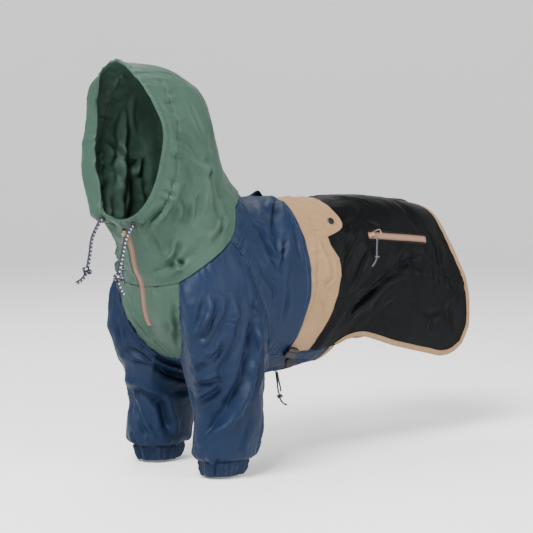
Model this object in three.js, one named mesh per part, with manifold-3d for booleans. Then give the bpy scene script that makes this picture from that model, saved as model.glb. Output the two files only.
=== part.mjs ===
// A hooded dog rain jacket, worn hollow, in millimetres. The dog faces -Y, its left is +X and up is +Z.
// The origin is at the withers, on the inside of the back, where the wearer carries the jacket.
//
// One smooth body surface, lofted through a fan of rings from the face opening to the tail, carries every
// panel: a point on it is (u, v), u counting rings from the face to the tail and v running round the body,
// 0 on the spine, 0.5 on the left side, 1 on the belly line, and negative on the right side.
import * as THREE from "three";
import { mergeVertices } from "three/addons/utils/BufferGeometryUtils.js";
import Module from "manifold-3d";

const wasm = await Module();
wasm.setup();

// Driving dimensions
const CLOTH = 1.2; // coated nylon with its turnings, wall thickness
const LAY = 0.35; // gap under a piece that lies on a panel
const SEAM = 0.2; // half of the gap left between two panels at a seam
const LAYER = CLOTH + 0.45; // the waist panel lies this far under the back panel
const RUMP_DEPTH = 2 * LAYER + 0.7;
const SIDE_INSET = 0.8; // gap at the side seam between the belly panel and the panels above it
const NECK = 6; // the ring on which the hood meets the body
const ZIP_WIDTH = 12; // visible width of both zips
const TAPE = 1; // zip tape thickness
const BINDING = { width: 5.5, wall: 1, gap: 1 };
const CORD = { drawcord: 5.2, pull: 2.6, elastic: 2.6 };
const WEBBING = { width: 15, thickness: 1.8 };
const ZIP_FOOT = 7.1; // where the neck zip ends on the bib
const PULL = { wire: 1.4, inside: 6, length: 14, raised: 62 };
const SNAP = { u: 11.24, v: 0.25 };
const LOOP = { from: 13.96, width: 14, thickness: 2, over: 2.4, beyond: 12 };
const BUCKLE = { u: 10.22, v: 0.75, width: 25, plug: 6, socket: 10, thickness: 6, tongue: 6 };

const COLOURS = {
  green: [0x5f8270, 0.55],
  blue: [0x33507a, 0.55],
  tan: [0xc2a58a, 0.6],
  black: [0x1c2124, 0.6],
  zip: [0xa07a66, 0.45],
  plastic: [0x15171a, 0.4],
  metal: [0xb9a88f, 0.3],
  cord: [0x2c3350, 0.8],
};

const table = (columns, rows) =>
  rows.map((row) => Object.fromEntries(columns.map((name, i) => [name, row[i]])));

// Rings of the body surface. Each is a flat closed curve: its top and bottom points in the middle plane,
// its half width, how square its upper and lower halves are (2 is an ellipse), the bow of its sides
// towards the face, and the squareness of its upper right quarter.
const RINGS = table(
  ["name", "yTop", "zTop", "yBottom", "zBottom", "half", "upper", "lower", "bow", "upperRight"],
  [
    ["face", -228, 193, -227, -20, 84, 1.55, 2.0, -8, 2.3],
    ["band", -201, 192, -216, -38, 88, 1.65, 2.1, -6, 2.2],
    ["crown", -158, 187, -211, -51, 86, 1.75, 2.2, 2, 2.0],
    ["back of head", -106, 163, -207, -64, 83, 1.9, 2.2, 2, 1.9],
    ["nape", -85, 114, -203, -78, 83, 1.95, 2.3, 0, 1.95],
    ["neck", -68, 58, -198, -93, 84, 1.95, 2.6, 0, 1.95],
    ["collar", -20, 3, -190, -110, 88, 1.95, 3.4, 0, 1.95],
    ["upper chest", 6, 5, -179, -165, 91, 1.95, 3.6, 0, 1.95],
    ["lower chest", 22, 5, -136, -217, 93, 1.95, 3.0, 0, 1.95],
    ["brisket", 38, 5, -66, -244, 94, 1.95, 2.2, 0, 1.95],
    ["ribs", 58, 5, 6, -254, 94, 1.95, 2.0, 0, 1.95],
    ["waist", 100, 4, 72, -251, 94, 2.1, 2.1, 0, 2.1],
    ["loin", 150, 3, 140, -245, 94, 2.4, 2.6, 0, 2.4],
    ["hip", 225, 2, 228, -290, 95, 3.0, 3.6, 0, 3.0],
    ["rump", 305, -8, 308, -305, 95, 3.1, 4.5, 0, 3.1],
    ["dock", 370, -23, 372, -312, 95, 2.8, 4.5, 0, 3.1],
    ["rear", 412, -37, 414, -314, 92, 2.7, 4.5, 0, 3.1],
  ],
);
const RING_KEYS = Object.keys(RINGS[0]).slice(1);

// The right side of the hood's face edge is rolled inwards: how far the cloth goes inwards and forwards, at
// each step of u from the edge. It fades out towards the crown and the chin.
const ROLL = table(
  ["inward", "forward"],
  [[20, 2], [8, 9], [-3, 13], [-7.5, 11], [-7, 7], [-4.5, 3], [-2, 0.6], [0, 0]],
);
const ROLL_STEP = 0.2;
const ROLL_FADE = { crown: [0.14, 0.3], chin: [0.72, 0.9] };

// Soft folds pressed into the body surface: depth is outward, width is half the fold's breadth.
const FOLDS = table(
  ["depth", "width", "route"],
  [
    [-6, 11, [[8.9, 0.08], [8.14, 0.26], [8.44, 0.35], [8.7, 0.42]]],
    [4, 10, [[9.3, 0.12], [9.0, 0.28], [9.1, 0.4]]],
    [-4, 12, [[6.3, 0.3], [7.5, 0.35], [8.3, 0.4]]],
    [-7, 13, [[2.24, 0.475], [2.7, 0.51], [3.24, 0.52], [3.9, 0.6], [4.5, 0.68]]],
    [-5, 11, [[3.5, 0.33], [4.46, 0.355], [5.1, 0.41]]],
    [-5, 10, [[2.9, 0.67], [3.64, 0.725], [4.54, 0.82]]],
    [4, 12, [[3.3, 0.43], [4.3, 0.48], [5.2, 0.55]]],
    [-4, 9, [[5.2, 0.63], [5.56, 0.69], [5.46, 0.75]]],
    [-5, 9, [[6.4, 0.81], [7.04, 0.83], [7.5, 0.88]]],
    [3, 12, [[6.6, 0.88], [7.2, 0.91]]],
    [-5, 12, [[13.28, 0.345], [12.62, 0.465], [12.1, 0.58], [11.9, 0.63]]],
    [-4, 10, [[13.76, 0.345], [13.02, 0.44], [12.4, 0.56]]],
    [9, 20, [[-0.2, 0.83], [0.5, 0.81], [1.1, 0.79]]],
    [4, 12, [[13.1, 0.4], [12.3, 0.54], [11.9, 0.62]]],
    [-4, 10, [[13.5, 0.12], [13.6, 0.235], [13.8, 0.31]]],
    [-4, 9, [[13.9, 0.35], [14.5, 0.42], [15.0, 0.5]]],
  ],
);

// Edges of the panels on the body surface, each from the spine down the left side.
const curvePoints = (rows) => table(["u", "v"], rows);
const NECK_EDGE = curvePoints([
  [5.85, 0], [5.62, 0.15], [5.52, 0.33], [5.93, 0.475], [6.02, 0.55], [6.0, 0.68], [6.05, 0.767],
  [6.03, 0.85], [6.1, 1],
]);
const RAGLAN = curvePoints([
  [5.96, 0.49], [6.64, 0.48], [7.48, 0.495], [8.16, 0.53], [8.54, 0.57], [8.88, 0.615], [9.28, 0.69],
  [9.62, 0.765],
]);
const SIDE_SEAM = curvePoints([[9.62, 0.765], [10.12, 0.762], [10.88, 0.775], [11.68, 0.768]]);
const BIB_EDGE = curvePoints([[6.06, 0.767], [6.5, 0.775], [6.94, 0.795], [7.44, 0.83], [7.9, 0.91]]);
const CHEST_SEAM = curvePoints([[7.9, 0.91], [8.0, 0.95], [8.03, 1]]);
const UNDERARM = curvePoints([[7.9, 0.91], [8.4, 0.885], [9.0, 0.845], [9.62, 0.765]]);
const BACK_HEM = curvePoints([
  [9.6, 0], [9.62, 0.07], [9.76, 0.16], [9.9, 0.255], [10.06, 0.36], [10.22, 0.47], [10.26, 0.525],
  [10.22, 0.605], [10.2, 0.685], [10.12, 0.762],
]);
const TAN_HEM = curvePoints([
  [11.46, 0], [11.5, 0.085], [11.54, 0.18], [11.66, 0.24], [11.66, 0.265], [11.58, 0.287], [11.45, 0.298],
  [11.25, 0.306], [10.96, 0.315], [11.02, 0.35], [11.28, 0.405], [11.34, 0.47], [11.3, 0.54],
  [11.14, 0.61], [10.96, 0.69], [10.9, 0.77],
]);
const RUMP_SEAM = curvePoints([[10.65, 0.77], [11.15, 0.774], [11.68, 0.768]]);
const RUMP_SIDE = curvePoints([
  [11.68, 0.768], [11.86, 0.735], [12.16, 0.7], [12.48, 0.68], [13.06, 0.665], [13.74, 0.67],
  [14.22, 0.675], [14.62, 0.665], [15.0, 0.64],
]);
const RUMP_REAR = curvePoints([
  [14.33, 0], [14.4, 0.09], [14.5, 0.18], [14.52, 0.23], [14.6, 0.29], [14.88, 0.36], [15.2, 0.425],
  [15.34, 0.495], [15.3, 0.58], [15.0, 0.64],
]);
const BELLY_HEM = curvePoints([[11.68, 0.768], [11.61, 0.82], [11.62, 1]]);

// Grid lines, shared by the panels on both sides of a seam: steps along each seam, the places round the
// body where the back, waist and rump panels have theirs, and the rings of the hood.
const STEPS = {
  crown: 11,
  shoulder: 4,
  throat: 5,
  raglan: 10,
  bib: 7,
  chest: 5,
  underarm: 6,
  side: 2,
  flank: 4,
  rump: 9,
};
const CROWN_HALF = [0.135, 0.125, 0.11, 0.1, 0.09, 0.08, 0.07]; // of the crown strip, at each ring
const ROUND = [0.012, 0.07, 0.135, 0.2, 0.26, 0.315, 0.375, 0.44, 0.52, 0.6, 0.68, 0.732, 0.762];
const TAB_ROUND = [0.238, 0.285, 0.297, 0.305]; // the waist panel's own lines, at its tab
const HOOD_RINGS = [0, 0.2, 0.4, 0.7, 0.8, 1.4, 2, 2.7, 3.4, 4.1, 4.8, 5.4, 6];
const ZIP_FIRST = 4; // the hood ring, in that list, where the neck zip begins
const BIB_FOOT = 4; // the bib's row where it ends
const SLIT = { first: 4, last: 9, lip: 8.5 }; // for the leash, on the back panel's spine

// The sleeve leaves the armhole, at a place round it (0 to 1 is the neck, 1 to 2 the bib, 2 to 3 the
// underarm, 3 to 4 the raglan seam), along a lean, over a reach, towards an angle of its own rings.
const ARMHOLE = table(
  ["at", "angle", "leanOut", "leanRear", "leanDown", "reach"],
  [
    [0, 20, 0.35, 0.25, 0.9, 250],
    [0.5, -18, 0.55, -0.05, 0.83, 220],
    [1, -60, 0.75, -0.35, 0.55, 180],
    [1.35, -84, 0.8, -0.4, 0.45, 145],
    [1.7, -106, 0.6, -0.45, 0.65, 105],
    [2, -132, 0.35, -0.3, 0.87, 75],
    [2.3, -162, 0.2, -0.1, 0.97, 55],
    [2.65, -197, 0.3, 0, 0.95, 60],
    [3, -243, 0.35, 0.05, 0.94, 75],
    [3.22, -264, 0.35, 0, 0.93, 105],
    [3.5, -288, 0.45, -0.1, 0.88, 155],
    [3.75, -315, 0.45, 0.05, 0.89, 210],
    [4, -340, 0.35, 0.25, 0.9, 250],
  ],
);
// Rings of the left sleeve below the armhole: centre, half widths across and along the body.
const SLEEVE_RINGS = table(
  ["x", "y", "z", "across", "along"],
  [
    [75, -95, -292, 41, 53],
    [76, -99, -322, 41, 53],
    [75, -103, -342, 38, 49],
    [73, -104, -353, 31, 39],
  ],
);
const SLEEVE_FOLDS = table(
  ["side", "depth", "width", "route"],
  [
    // angle round the sleeve and share of its length
    [1, -7, 12, [[-20, 0.25], [-40, 0.5], [-75, 0.78]]],
    [1, 5, 12, [[-50, 0.3], [-75, 0.55]]],
    [1, -5, 10, [[40, 0.35], [15, 0.6]]],
    [-1, -6, 12, [[-110, 0.3], [-80, 0.45], [-50, 0.55]]],
    [-1, -5, 10, [[-70, 0.6], [-95, 0.8]]],
    [-1, 5, 12, [[-80, 0.2], [-40, 0.35]]],
  ],
);
const CUFF = { length: 20, across: 27, along: 34, gather: 1.6, pleats: 14 };

// ---- Small maths ----
const V3 = (x, y, z) => new THREE.Vector3(x, y, z);
const lerp = THREE.MathUtils.lerp;
const clamp = THREE.MathUtils.clamp;
const wrapV = (v) => (v > 1 ? v - 2 : v < -1 ? v + 2 : v);

// Catmull-Rom through rows of named numbers, at a running index.
function spline(rows, keys, at) {
  const last = rows.length - 1;
  const i = clamp(Math.floor(at), 0, last - 1);
  const t = clamp(at, 0, last) - i;
  const [a, b, c, d] = [rows[Math.max(i - 1, 0)], rows[i], rows[i + 1], rows[Math.min(i + 2, last)]];
  return keys.map((k) => {
    const m1 = (c[k] - a[k]) / 2;
    const m2 = (d[k] - b[k]) / 2;
    const [t2, t3] = [t * t, t * t * t];
    return (2 * t3 - 3 * t2 + 1) * b[k] + (t3 - 2 * t2 + t) * m1 + (3 * t2 - 2 * t3) * c[k] + (t3 - t2) * m2;
  });
}

// How far back the face edge of the hood is cut, in u, round the body.
const faceU = (v) => 0.36 * Math.exp(-(((Math.abs(v) - 0.42) / 0.13) ** 2));

// The roll of the face edge at (u, v), as distances inwards and forwards.
function rolled(u, v) {
  const step = (u - faceU(v)) / ROLL_STEP;
  if (v >= 0 || step >= ROLL.length - 1) return [0, 0];
  const { crown, chin } = ROLL_FADE;
  const { smoothstep } = THREE.MathUtils;
  const share = smoothstep(-v, ...crown) * (1 - smoothstep(-v, ...chin));
  return spline(ROLL, ["inward", "forward"], step).map((mm) => share * mm);
}

// A point of the bare body surface.
function body(u, vRaw) {
  const v = wrapV(vRaw);
  const [yT, zT, yB, zB, half, upper, lower, bow, upperRight] = spline(RINGS, RING_KEYS, u);
  const cos = Math.cos(Math.PI * v);
  const sin = Math.abs(Math.sin(Math.PI * v));
  const power = cos < 0 ? lower : v < 0 ? upperRight : upper;
  const radius = (Math.abs(cos) ** power + sin ** power) ** (-1 / power);
  const down = (1 - cos * radius) / 2;
  const length = Math.hypot(yB - yT, zB - zT);
  const forward = (bow * sin) / length;
  const p = V3(
    Math.sign(v) * half * sin * radius,
    lerp(yT, yB, down) + forward * (zB - zT),
    lerp(zT, zB, down) - forward * (yB - yT),
  );
  const [inward, ahead] = rolled(u, v);
  const toMiddle = V3(-p.x, 0, (zT + zB) / 2 - p.z).normalize();
  return p.addScaledVector(toMiddle, inward).add(V3(0, -ahead, 0));
}

function tangents(u, v) {
  const e = 1e-3;
  const along = body(u + e, v).sub(body(u - e, v)).divideScalar(2 * e);
  const round = body(u, v + e).sub(body(u, v - e)).divideScalar(2 * e);
  const out = round.clone().cross(along).normalize();
  return { along, round, out };
}
const stepU = (u, v, mm) => mm / tangents(u, v).along.length();
const stepV = (u, v, mm) => mm / tangents(u, v).round.length();

// How far a point stands out because of the folds routed near it.
function foldHeight(point, routes) {
  return routes.reduce((sum, { depth, width, points }) => {
    let nearest = Infinity;
    let share = 0;
    points.slice(1).forEach((end, k) => {
      const start = points[k];
      const span = end.clone().sub(start);
      const t = clamp(point.clone().sub(start).dot(span) / span.lengthSq(), 0, 1);
      const distance = start.clone().addScaledVector(span, t).distanceTo(point);
      if (distance < nearest) [nearest, share] = [distance, (k + t) / (points.length - 1)];
    });
    const taper = Math.sin(Math.PI * clamp(share, 0.02, 0.98)) ** 0.6;
    return sum + depth * taper * Math.exp(-((nearest / width) ** 2));
  }, 0);
}
const foldRoutes = [1, -1].flatMap((side) =>
  FOLDS.map(({ depth, width, route }) => ({
    depth,
    width,
    points: route.map(([u, v]) => body(u, side * v)),
  })),
);

// A point of the clothed surface, lifted off it by mm, with its outward direction.
function cloth(u, v, lift = 0) {
  const p = body(u, v);
  const { out, along, round } = tangents(u, v);
  return { p: p.clone().addScaledVector(out, lift + foldHeight(p, foldRoutes)), n: out, along, round };
}

// Samples along a curve of (u, v) rows, evenly by arc length, t from 0 to 1.
function edge(rows) {
  const [mmU, mmV] = [45, 280];
  const points = rows.map(({ u, v }) => V3(u * mmU, v * mmV, 0));
  const curve = new THREE.CatmullRomCurve3(points, false, "centripetal");
  return (t) => {
    const p = curve.getPointAt(clamp(t, 0, 1));
    return [p.x / mmU, p.y / mmV];
  };
}
// Linear reading of one named column against another.
function reading(rows, from, to) {
  return (x) => {
    const k = clamp(rows.findIndex((r) => r[from] > x) - 1, 0, rows.length - 2);
    const at = x >= rows[rows.length - 1][from] ? rows.length - 2 : k;
    const [a, b] = [rows[at], rows[at + 1]];
    return lerp(a[to], b[to], clamp((x - a[from]) / (b[from] - a[from]), 0, 1));
  };
}
const roundOf = (v) => Math.abs(wrapV(v));
const neckAt = reading(NECK_EDGE, "v", "u");
const backHemAt = reading(BACK_HEM, "v", "u");
const tanHemAt = reading(TAN_HEM, "v", "u");
const seamAt = reading(SIDE_SEAM, "u", "v");
const neckU = (v) => neckAt(roundOf(v));
const tanHemU = (v) => tanHemAt(roundOf(v));
const crownV = (u) => reading(CROWN_HALF.map((half, ring) => ({ ring, half })), "ring", "half")(u);

// Edges one after another, each [edge, steps], read at a number of steps from the start.
const chain = (...parts) => (step) => {
  const [run, steps] = parts[0];
  return step <= steps || parts.length === 1 ? run(step / steps) : chain(...parts.slice(1))(step - steps);
};
const reversed = (run) => (t) => run(1 - t);
const raglan = edge(RAGLAN);
const bibEdge = edge(BIB_EDGE);
const chestSeam = edge(CHEST_SEAM);
const underarm = edge(UNDERARM);
const sideSeam = chain([edge(SIDE_SEAM.slice(0, 2)), STEPS.side], [edge(SIDE_SEAM.slice(1)), STEPS.flank]);
const neckSeam = (v0, v1) => (t) => [neckU(lerp(v0, v1, t)), lerp(v0, v1, t)];
const mirrorSpine = ([u, v]) => [u, -v];
const mirrorBelly = ([u, v]) => [u, 2 - v];

// A patch of (u, v) at row i and column j between its front and rear edges and its two side edges.
function patch(rows, columns, front, rear, first, last) {
  const [endI, endJ] = [rows - 1, columns - 1];
  return (i, j) => {
    const [a, b] = [i / endI, j / endJ];
    return [0, 1].map((k) => {
      const sides = (1 - b) * first(i)[k] + b * last(i)[k];
      const ends = (1 - a) * front(j)[k] + a * rear(j)[k];
      const near = (1 - b) * front(0)[k] + b * front(endJ)[k];
      const far = (1 - b) * rear(0)[k] + b * rear(endJ)[k];
      return sides + ends - (1 - a) * near - a * far;
    });
  };
}

// ---- Solids ----
const jacket = new THREE.Group();
const materials = Object.fromEntries(
  Object.entries(COLOURS).map(([name, [color, roughness]]) => [
    name,
    new THREE.MeshStandardMaterial({ color, roughness, metalness: name === "metal" ? 0.9 : 0 }),
  ]),
);
function add(name, geometry, material) {
  const mesh = new THREE.Mesh(geometry, materials[material]);
  mesh.name = name;
  jacket.add(mesh);
  return mesh;
}
function geometryOf(points, faces) {
  const volume = faces.reduce((sum, [a, b, c]) => {
    return sum + points[a].dot(points[b].clone().cross(points[c]));
  }, 0);
  const outward = volume < 0 ? faces.map(([a, b, c]) => [a, c, b]) : faces;
  return new THREE.BufferGeometry()
    .setAttribute("position", new THREE.Float32BufferAttribute(points.flatMap((p) => p.toArray()), 3))
    .setIndex(outward.flat());
}
// A cloth wall over a grid: at(row, column) gives its outer point p and direction n.
function wall(name, rows, columns, at, material, { loop = false, hole = () => false } = {}) {
  const outer = [];
  const inner = [];
  for (let i = 0; i < rows; i++) {
    for (let j = 0; j < columns; j++) {
      const { p, n } = at(i, j);
      outer.push(p);
      inner.push(p.clone().addScaledVector(n, -CLOTH));
    }
  }
  const faces = [];
  const index = (i, j) => i * columns + (j % columns);
  for (let i = 0; i < rows - 1; i++) {
    for (let j = 0; j < (loop ? columns : columns - 1); j++) {
      if (hole(i, j)) continue;
      const [a, b, c, d] = [index(i, j), index(i + 1, j), index(i + 1, j + 1), index(i, j + 1)];
      faces.push([a, b, c], [a, c, d]);
    }
  }
  const edges = new Map(faces.flatMap(([a, b, c]) => [[a, b], [b, c], [c, a]].map((e) => [e.join(), e])));
  const shift = outer.length;
  const rims = [...edges.values()].filter(([a, b]) => !edges.has([b, a].join()));
  const used = new Set(faces.flat());
  const all = [
    ...faces,
    ...faces.map(([a, b, c]) => [a + shift, c + shift, b + shift]),
    ...rims.flatMap(([a, b]) => [[b, a, a + shift], [b, a + shift, b + shift]]),
  ];
  const order = [...used].flatMap((k) => [k, k + shift]);
  const place = new Map(order.map((k, i) => [k, i]));
  const points = [...outer, ...inner];
  const faceList = all.map((f) => f.map((k) => place.get(k)));
  add(name, geometryOf(order.map((k) => points[k]), faceList), material);
}
// A wall whose grid is a patch of the body surface. Gives the grid, to lay other pieces on.
function panel(name, rows, columns, uv, material, { depth = () => 0, ...rest } = {}) {
  const at = (i, j) => {
    const [u, v] = uv(i, j);
    return cloth(u, v, -depth(u, v));
  };
  wall(name, rows, columns, at, material, rest);
  return { uv, at, rows, columns };
}
// A solid swept along frames {p, x, y} with a section of [x, y] points; a closed loop has no ends.
function sweep(frames, section, closed = false) {
  const n = section.length;
  const points = frames.flatMap(({ p, x, y }) =>
    section.map(([a, b]) => p.clone().addScaledVector(x, a).addScaledVector(y, b)),
  );
  const faces = [];
  const spans = closed ? frames.length : frames.length - 1;
  for (let i = 0; i < spans; i++) {
    for (let k = 0; k < n; k++) {
      const [a, b] = [i * n + k, i * n + ((k + 1) % n)];
      const [c, d] = [(a + n) % points.length, (b + n) % points.length];
      faces.push([a, b, d], [a, d, c]);
    }
  }
  if (!closed) {
    const cap = THREE.ShapeUtils.triangulateShape(section.map(([a, b]) => new THREE.Vector2(a, b)), []);
    const end = (frames.length - 1) * n;
    const flip = THREE.ShapeUtils.area(section.map(([a, b]) => ({ x: a, y: b }))) < 0;
    cap.forEach(([a, b, c]) => {
      const tri = flip ? [a, c, b] : [a, b, c];
      faces.push([tri[0], tri[2], tri[1]], tri.map((k) => k + end));
    });
  }
  return geometryOf(points, faces);
}
const box2 = (x0, x1, y0, y1) => [[x0, y0], [x1, y0], [x1, y1], [x0, y1]];
const circle = (radius, sides) =>
  Array.from({ length: sides }, (_, k) => {
    const a = (2 * Math.PI * (k + 0.5)) / sides;
    return [radius * Math.cos(a), radius * Math.sin(a)];
  });
// The outer face of a grid between its lines: rows x and columns y need not be whole numbers.
function facet(grid, x, y) {
  const [i, j] = [clamp(Math.floor(x), 0, grid.rows - 2), clamp(Math.floor(y), 0, grid.columns - 2)];
  const [s, t] = [x - i, y - j];
  const corners = [[i, j], [i + 1, j], [i + 1, j + 1], [i, j + 1]];
  const [a, b, c, d] = corners.map(([row, column]) => grid.at(row, column).p);
  const first = s >= t ? b.clone().sub(a) : c.clone().sub(d);
  const second = s >= t ? c.clone().sub(b) : d.clone().sub(a);
  const p = a.clone().addScaledVector(first, s).addScaledVector(second, t);
  const n = first.clone().cross(second).normalize();
  if (n.dot(grid.at(i, j).n) < 0) n.negate();
  return { p, n, rowWay: second.normalize(), columnWay: first.normalize() };
}
// The row and column of a grid at which the body surface's (u, v) lies.
function locate(grid, u, v) {
  const uvAt = (x, y) => {
    const [i, j] = [clamp(Math.floor(x), 0, grid.rows - 2), clamp(Math.floor(y), 0, grid.columns - 2)];
    const [s, t] = [x - i, y - j];
    return [0, 1].map((k) => {
      const near = lerp(grid.uv(i, j)[k], grid.uv(i, j + 1)[k], t);
      const far = lerp(grid.uv(i + 1, j)[k], grid.uv(i + 1, j + 1)[k], t);
      return lerp(near, far, s);
    });
  };
  let [x, y] = [grid.rows / 2, grid.columns * (v < 0 ? 0.3 : 0.7)];
  for (let turn = 0; turn < 40; turn++) {
    const [here, rowStep, columnStep] = [uvAt(x, y), uvAt(x + 0.01, y), uvAt(x, y + 0.01)];
    const [ux, vx] = [(rowStep[0] - here[0]) / 0.01, (rowStep[1] - here[1]) / 0.01];
    const [uy, vy] = [(columnStep[0] - here[0]) / 0.01, (columnStep[1] - here[1]) / 0.01];
    const [du, dv, det] = [u - here[0], v - here[1], ux * vy - uy * vx];
    x = clamp(x + 0.7 * ((du * vy - uy * dv) / det), 0, grid.rows - 1);
    y = clamp(y + 0.7 * ((ux * dv - du * vx) / det), 0, grid.columns - 1);
  }
  return [x, y];
}
// A flat strip laid on a grid between two places, along its rows' way ("x") or its columns' ("y").
function strip(grid, from, to, along, width, thickness, lift) {
  const k = along === "x" ? 0 : 1;
  const inner = [];
  for (let m = Math.ceil(from[k] + 0.05); m <= to[k] - 0.05; m++) inner.push(m);
  const stations = [from[k], ...inner, to[k]].map((at) => {
    const share = (at - from[k]) / (to[k] - from[k]);
    return along === "x" ? [at, lerp(from[1], to[1], share)] : [lerp(from[0], to[0], share), at];
  });
  const places = stations.map(([x, y]) => facet(grid, x, y));
  const frames = places.map((place, m) => {
    const run = places[Math.min(m + 1, places.length - 1)].p.clone();
    run.sub(places[Math.max(m - 1, 0)].p).normalize();
    const side = along === "x" ? place.rowWay.clone() : place.columnWay.clone().negate();
    const x = side.addScaledVector(run, -side.dot(run)).normalize();
    const y = run.clone().cross(x).normalize();
    const out = y.dot(place.n) < 0 ? y.negate() : y;
    return { p: place.p.clone().addScaledVector(out, lift), x, y: out, run };
  });
  return { frames, geometry: sweep(frames, box2(-width / 2, width / 2, 0, thickness)) };
}
// Puts a geometry modelled at the origin at a place, its X, Y and Z along the given directions.
function placed(geometry, p, x, y) {
  const z = x.clone().cross(y).normalize();
  const across = y.clone().normalize();
  const stand = new THREE.Matrix4().makeBasis(across.clone().cross(z), across, z);
  return geometry.applyMatrix4(stand.setPosition(p));
}
function solid(geometry) {
  const bare = geometry.index ? geometry.toNonIndexed() : geometry.clone();
  bare.deleteAttribute("normal");
  bare.deleteAttribute("uv");
  const merged = mergeVertices(bare, 1e-4);
  const mesh = { numProp: 3, vertProperties: merged.attributes.position.array };
  return new wasm.Manifold(new wasm.Mesh({ ...mesh, triVerts: new Uint32Array(merged.index.array) }));
}
function geometryFrom(manifold) {
  const { numProp, numVert, vertProperties, triVerts } = manifold.getMesh();
  const rowsOf = (values, step, count) =>
    Array.from({ length: count }, (_, i) => [...values.subarray(i * step, i * step + 3)]);
  const points = rowsOf(vertProperties, numProp, numVert).map((p) => V3(...p));
  const faces = rowsOf(triVerts, 3, triVerts.length / 3);
  return geometryOf(points, faces);
}
const lathe = (profile, sides) => {
  return new THREE.LatheGeometry(profile.map(([r, y]) => new THREE.Vector2(r, y)), sides);
};

// ---- Panels ----
// Columns counted from the spine: those of both sides, and the side and count of each.
const sided = (half) => ({
  columns: 2 * half,
  place: (j) => (j < half ? [-1, half - 1 - j] : [1, j - half]),
});
// Half of the slot down the throat: shut at the chin, the zip's width below it.
const slotHalf = (ring) => (ring < HOOD_RINGS[ZIP_FIRST] ? SEAM : ZIP_WIDTH / 2);

function hoodSide(name, side) {
  const { crown, shoulder, throat } = STEPS;
  const first = RAGLAN[0].v;
  const last = BIB_EDGE[0].v;
  return panel(name, HOOD_RINGS.length, crown + shoulder + throat + 1, (i, j) => {
    const ring = HOOD_RINGS[i];
    const from = crownV(ring) + stepV(ring, crownV(ring), SEAM);
    const to = 1 - stepV(ring, 0.999, slotHalf(ring));
    const below = j - crown - shoulder;
    const onNeck = j <= crown ? lerp(0.07, first, j / crown) : lerp(first, last, (j - crown) / shoulder);
    const share = below > 0 ? lerp(last, 1, below / throat) : onNeck;
    const v = lerp(from, to, (share - 0.07) / 0.93);
    return [lerp(faceU(v), neckU(v) - stepU(NECK, v, SEAM), ring / NECK), side * v];
  }, "green");
}
function hoodCenter() {
  return panel("hood_center", HOOD_RINGS.length, 4, (i, j) => {
    const ring = HOOD_RINGS[i];
    const half = crownV(ring) - stepV(ring, crownV(ring), SEAM);
    const v = half * [-1, -0.17, 0.17, 1][j];
    return [lerp(faceU(v), neckU(v) - stepU(NECK, v, SEAM), ring / NECK), v];
  }, "green");
}

function bib() {
  const [rows, half] = [STEPS.bib + 1, STEPS.throat];
  const columns = 2 * half + 2;
  const share = (j) => Math.min(j, columns - 1 - j) / (half + 0.5);
  const flip = (j, uv) => (j < columns / 2 ? uv : mirrorBelly(uv));
  const uv = patch(
    rows,
    columns,
    (j) => {
      const v = lerp(BIB_EDGE[0].v, 1, share(j));
      return flip(j, [neckU(v) + stepU(NECK, v, SEAM), v]);
    },
    (j) => flip(j, chestSeam(share(j))),
    (i) => bibEdge(i / STEPS.bib),
    (i) => mirrorBelly(bibEdge(i / STEPS.bib)),
  );
  const foot = ZIP_FOOT + stepU(ZIP_FOOT, 1, 2 * SEAM);
  const isSlot = (j) => j === half || j === half + 1;
  return panel("bib", rows, columns, (i, j) => {
    const [u, v] = uv(i, j);
    if (!isSlot(j) || i > BIB_FOOT + 1) return [u, v];
    return [i === BIB_FOOT ? foot : u, 1 + (j === half ? -1 : 1) * stepV(u, 1, ZIP_WIDTH / 2)];
  }, "green", { hole: (i, j) => j === half && i < BIB_FOOT });
}

function backPanel() {
  const [rows, half] = [STEPS.raglan + STEPS.side + 1, ROUND.length];
  const { columns, place } = sided(half);
  const frontRound = (m) => (m ? lerp(0.07, RAGLAN[0].v, (m - 1) / STEPS.crown) : ROUND[0]);
  const side = chain([raglan, STEPS.raglan], [edge(SIDE_SEAM.slice(0, 2)), STEPS.side]);
  const uv = patch(
    rows,
    columns,
    (j) => {
      const [sign, m] = place(j);
      const v = frontRound(m);
      return [neckU(v) + stepU(NECK, v, SEAM), sign * v];
    },
    (j) => {
      const [sign, m] = place(j);
      return [backHemAt(ROUND[m]), sign * ROUND[m]];
    },
    (i) => mirrorSpine(side(i)),
    side,
  );
  // The right lip of the leash slit stands up a little.
  const at = (i, j) => {
    const [u, v] = uv(i, j);
    const along = clamp((i - SLIT.first) / (SLIT.last - SLIT.first), 0, 1);
    const lip = j === half - 1 ? SLIT.lip * Math.sin(Math.PI * along) : 0;
    return cloth(u, v, lip);
  };
  const hole = (i, j) => j === half - 1 && i >= SLIT.first && i < SLIT.last;
  wall("back_panel", rows, columns, at, "blue", { hole });
}

function bellyPanel() {
  const { underarm: arm, chest, side, flank } = STEPS;
  const [rows, half] = [side + flank + 1, arm + chest];
  const columns = 2 * half + 2;
  const count = (j) => Math.min(j, columns - 1 - j);
  const flip = (j, uv) => (j <= half ? uv : mirrorBelly(uv));
  const front = chain([reversed(underarm), arm], [chestSeam, chest + 0.5]);
  const hem = edge(BELLY_HEM);
  const seam = (i) => {
    const [u, v] = sideSeam(i);
    return [u, v + stepV(u, v, 2 * SEAM)];
  };
  const uv = patch(
    rows,
    columns,
    (j) => {
      const [u, v] = front(count(j));
      return flip(j, [count(j) >= arm ? u + stepU(u, v, 2 * SEAM) : u, v]);
    },
    (j) => flip(j, hem(count(j) / (half + 0.5))),
    seam,
    (i) => mirrorBelly(seam(i)),
  );
  return panel("belly_panel", rows, columns, uv, "blue");
}

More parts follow.
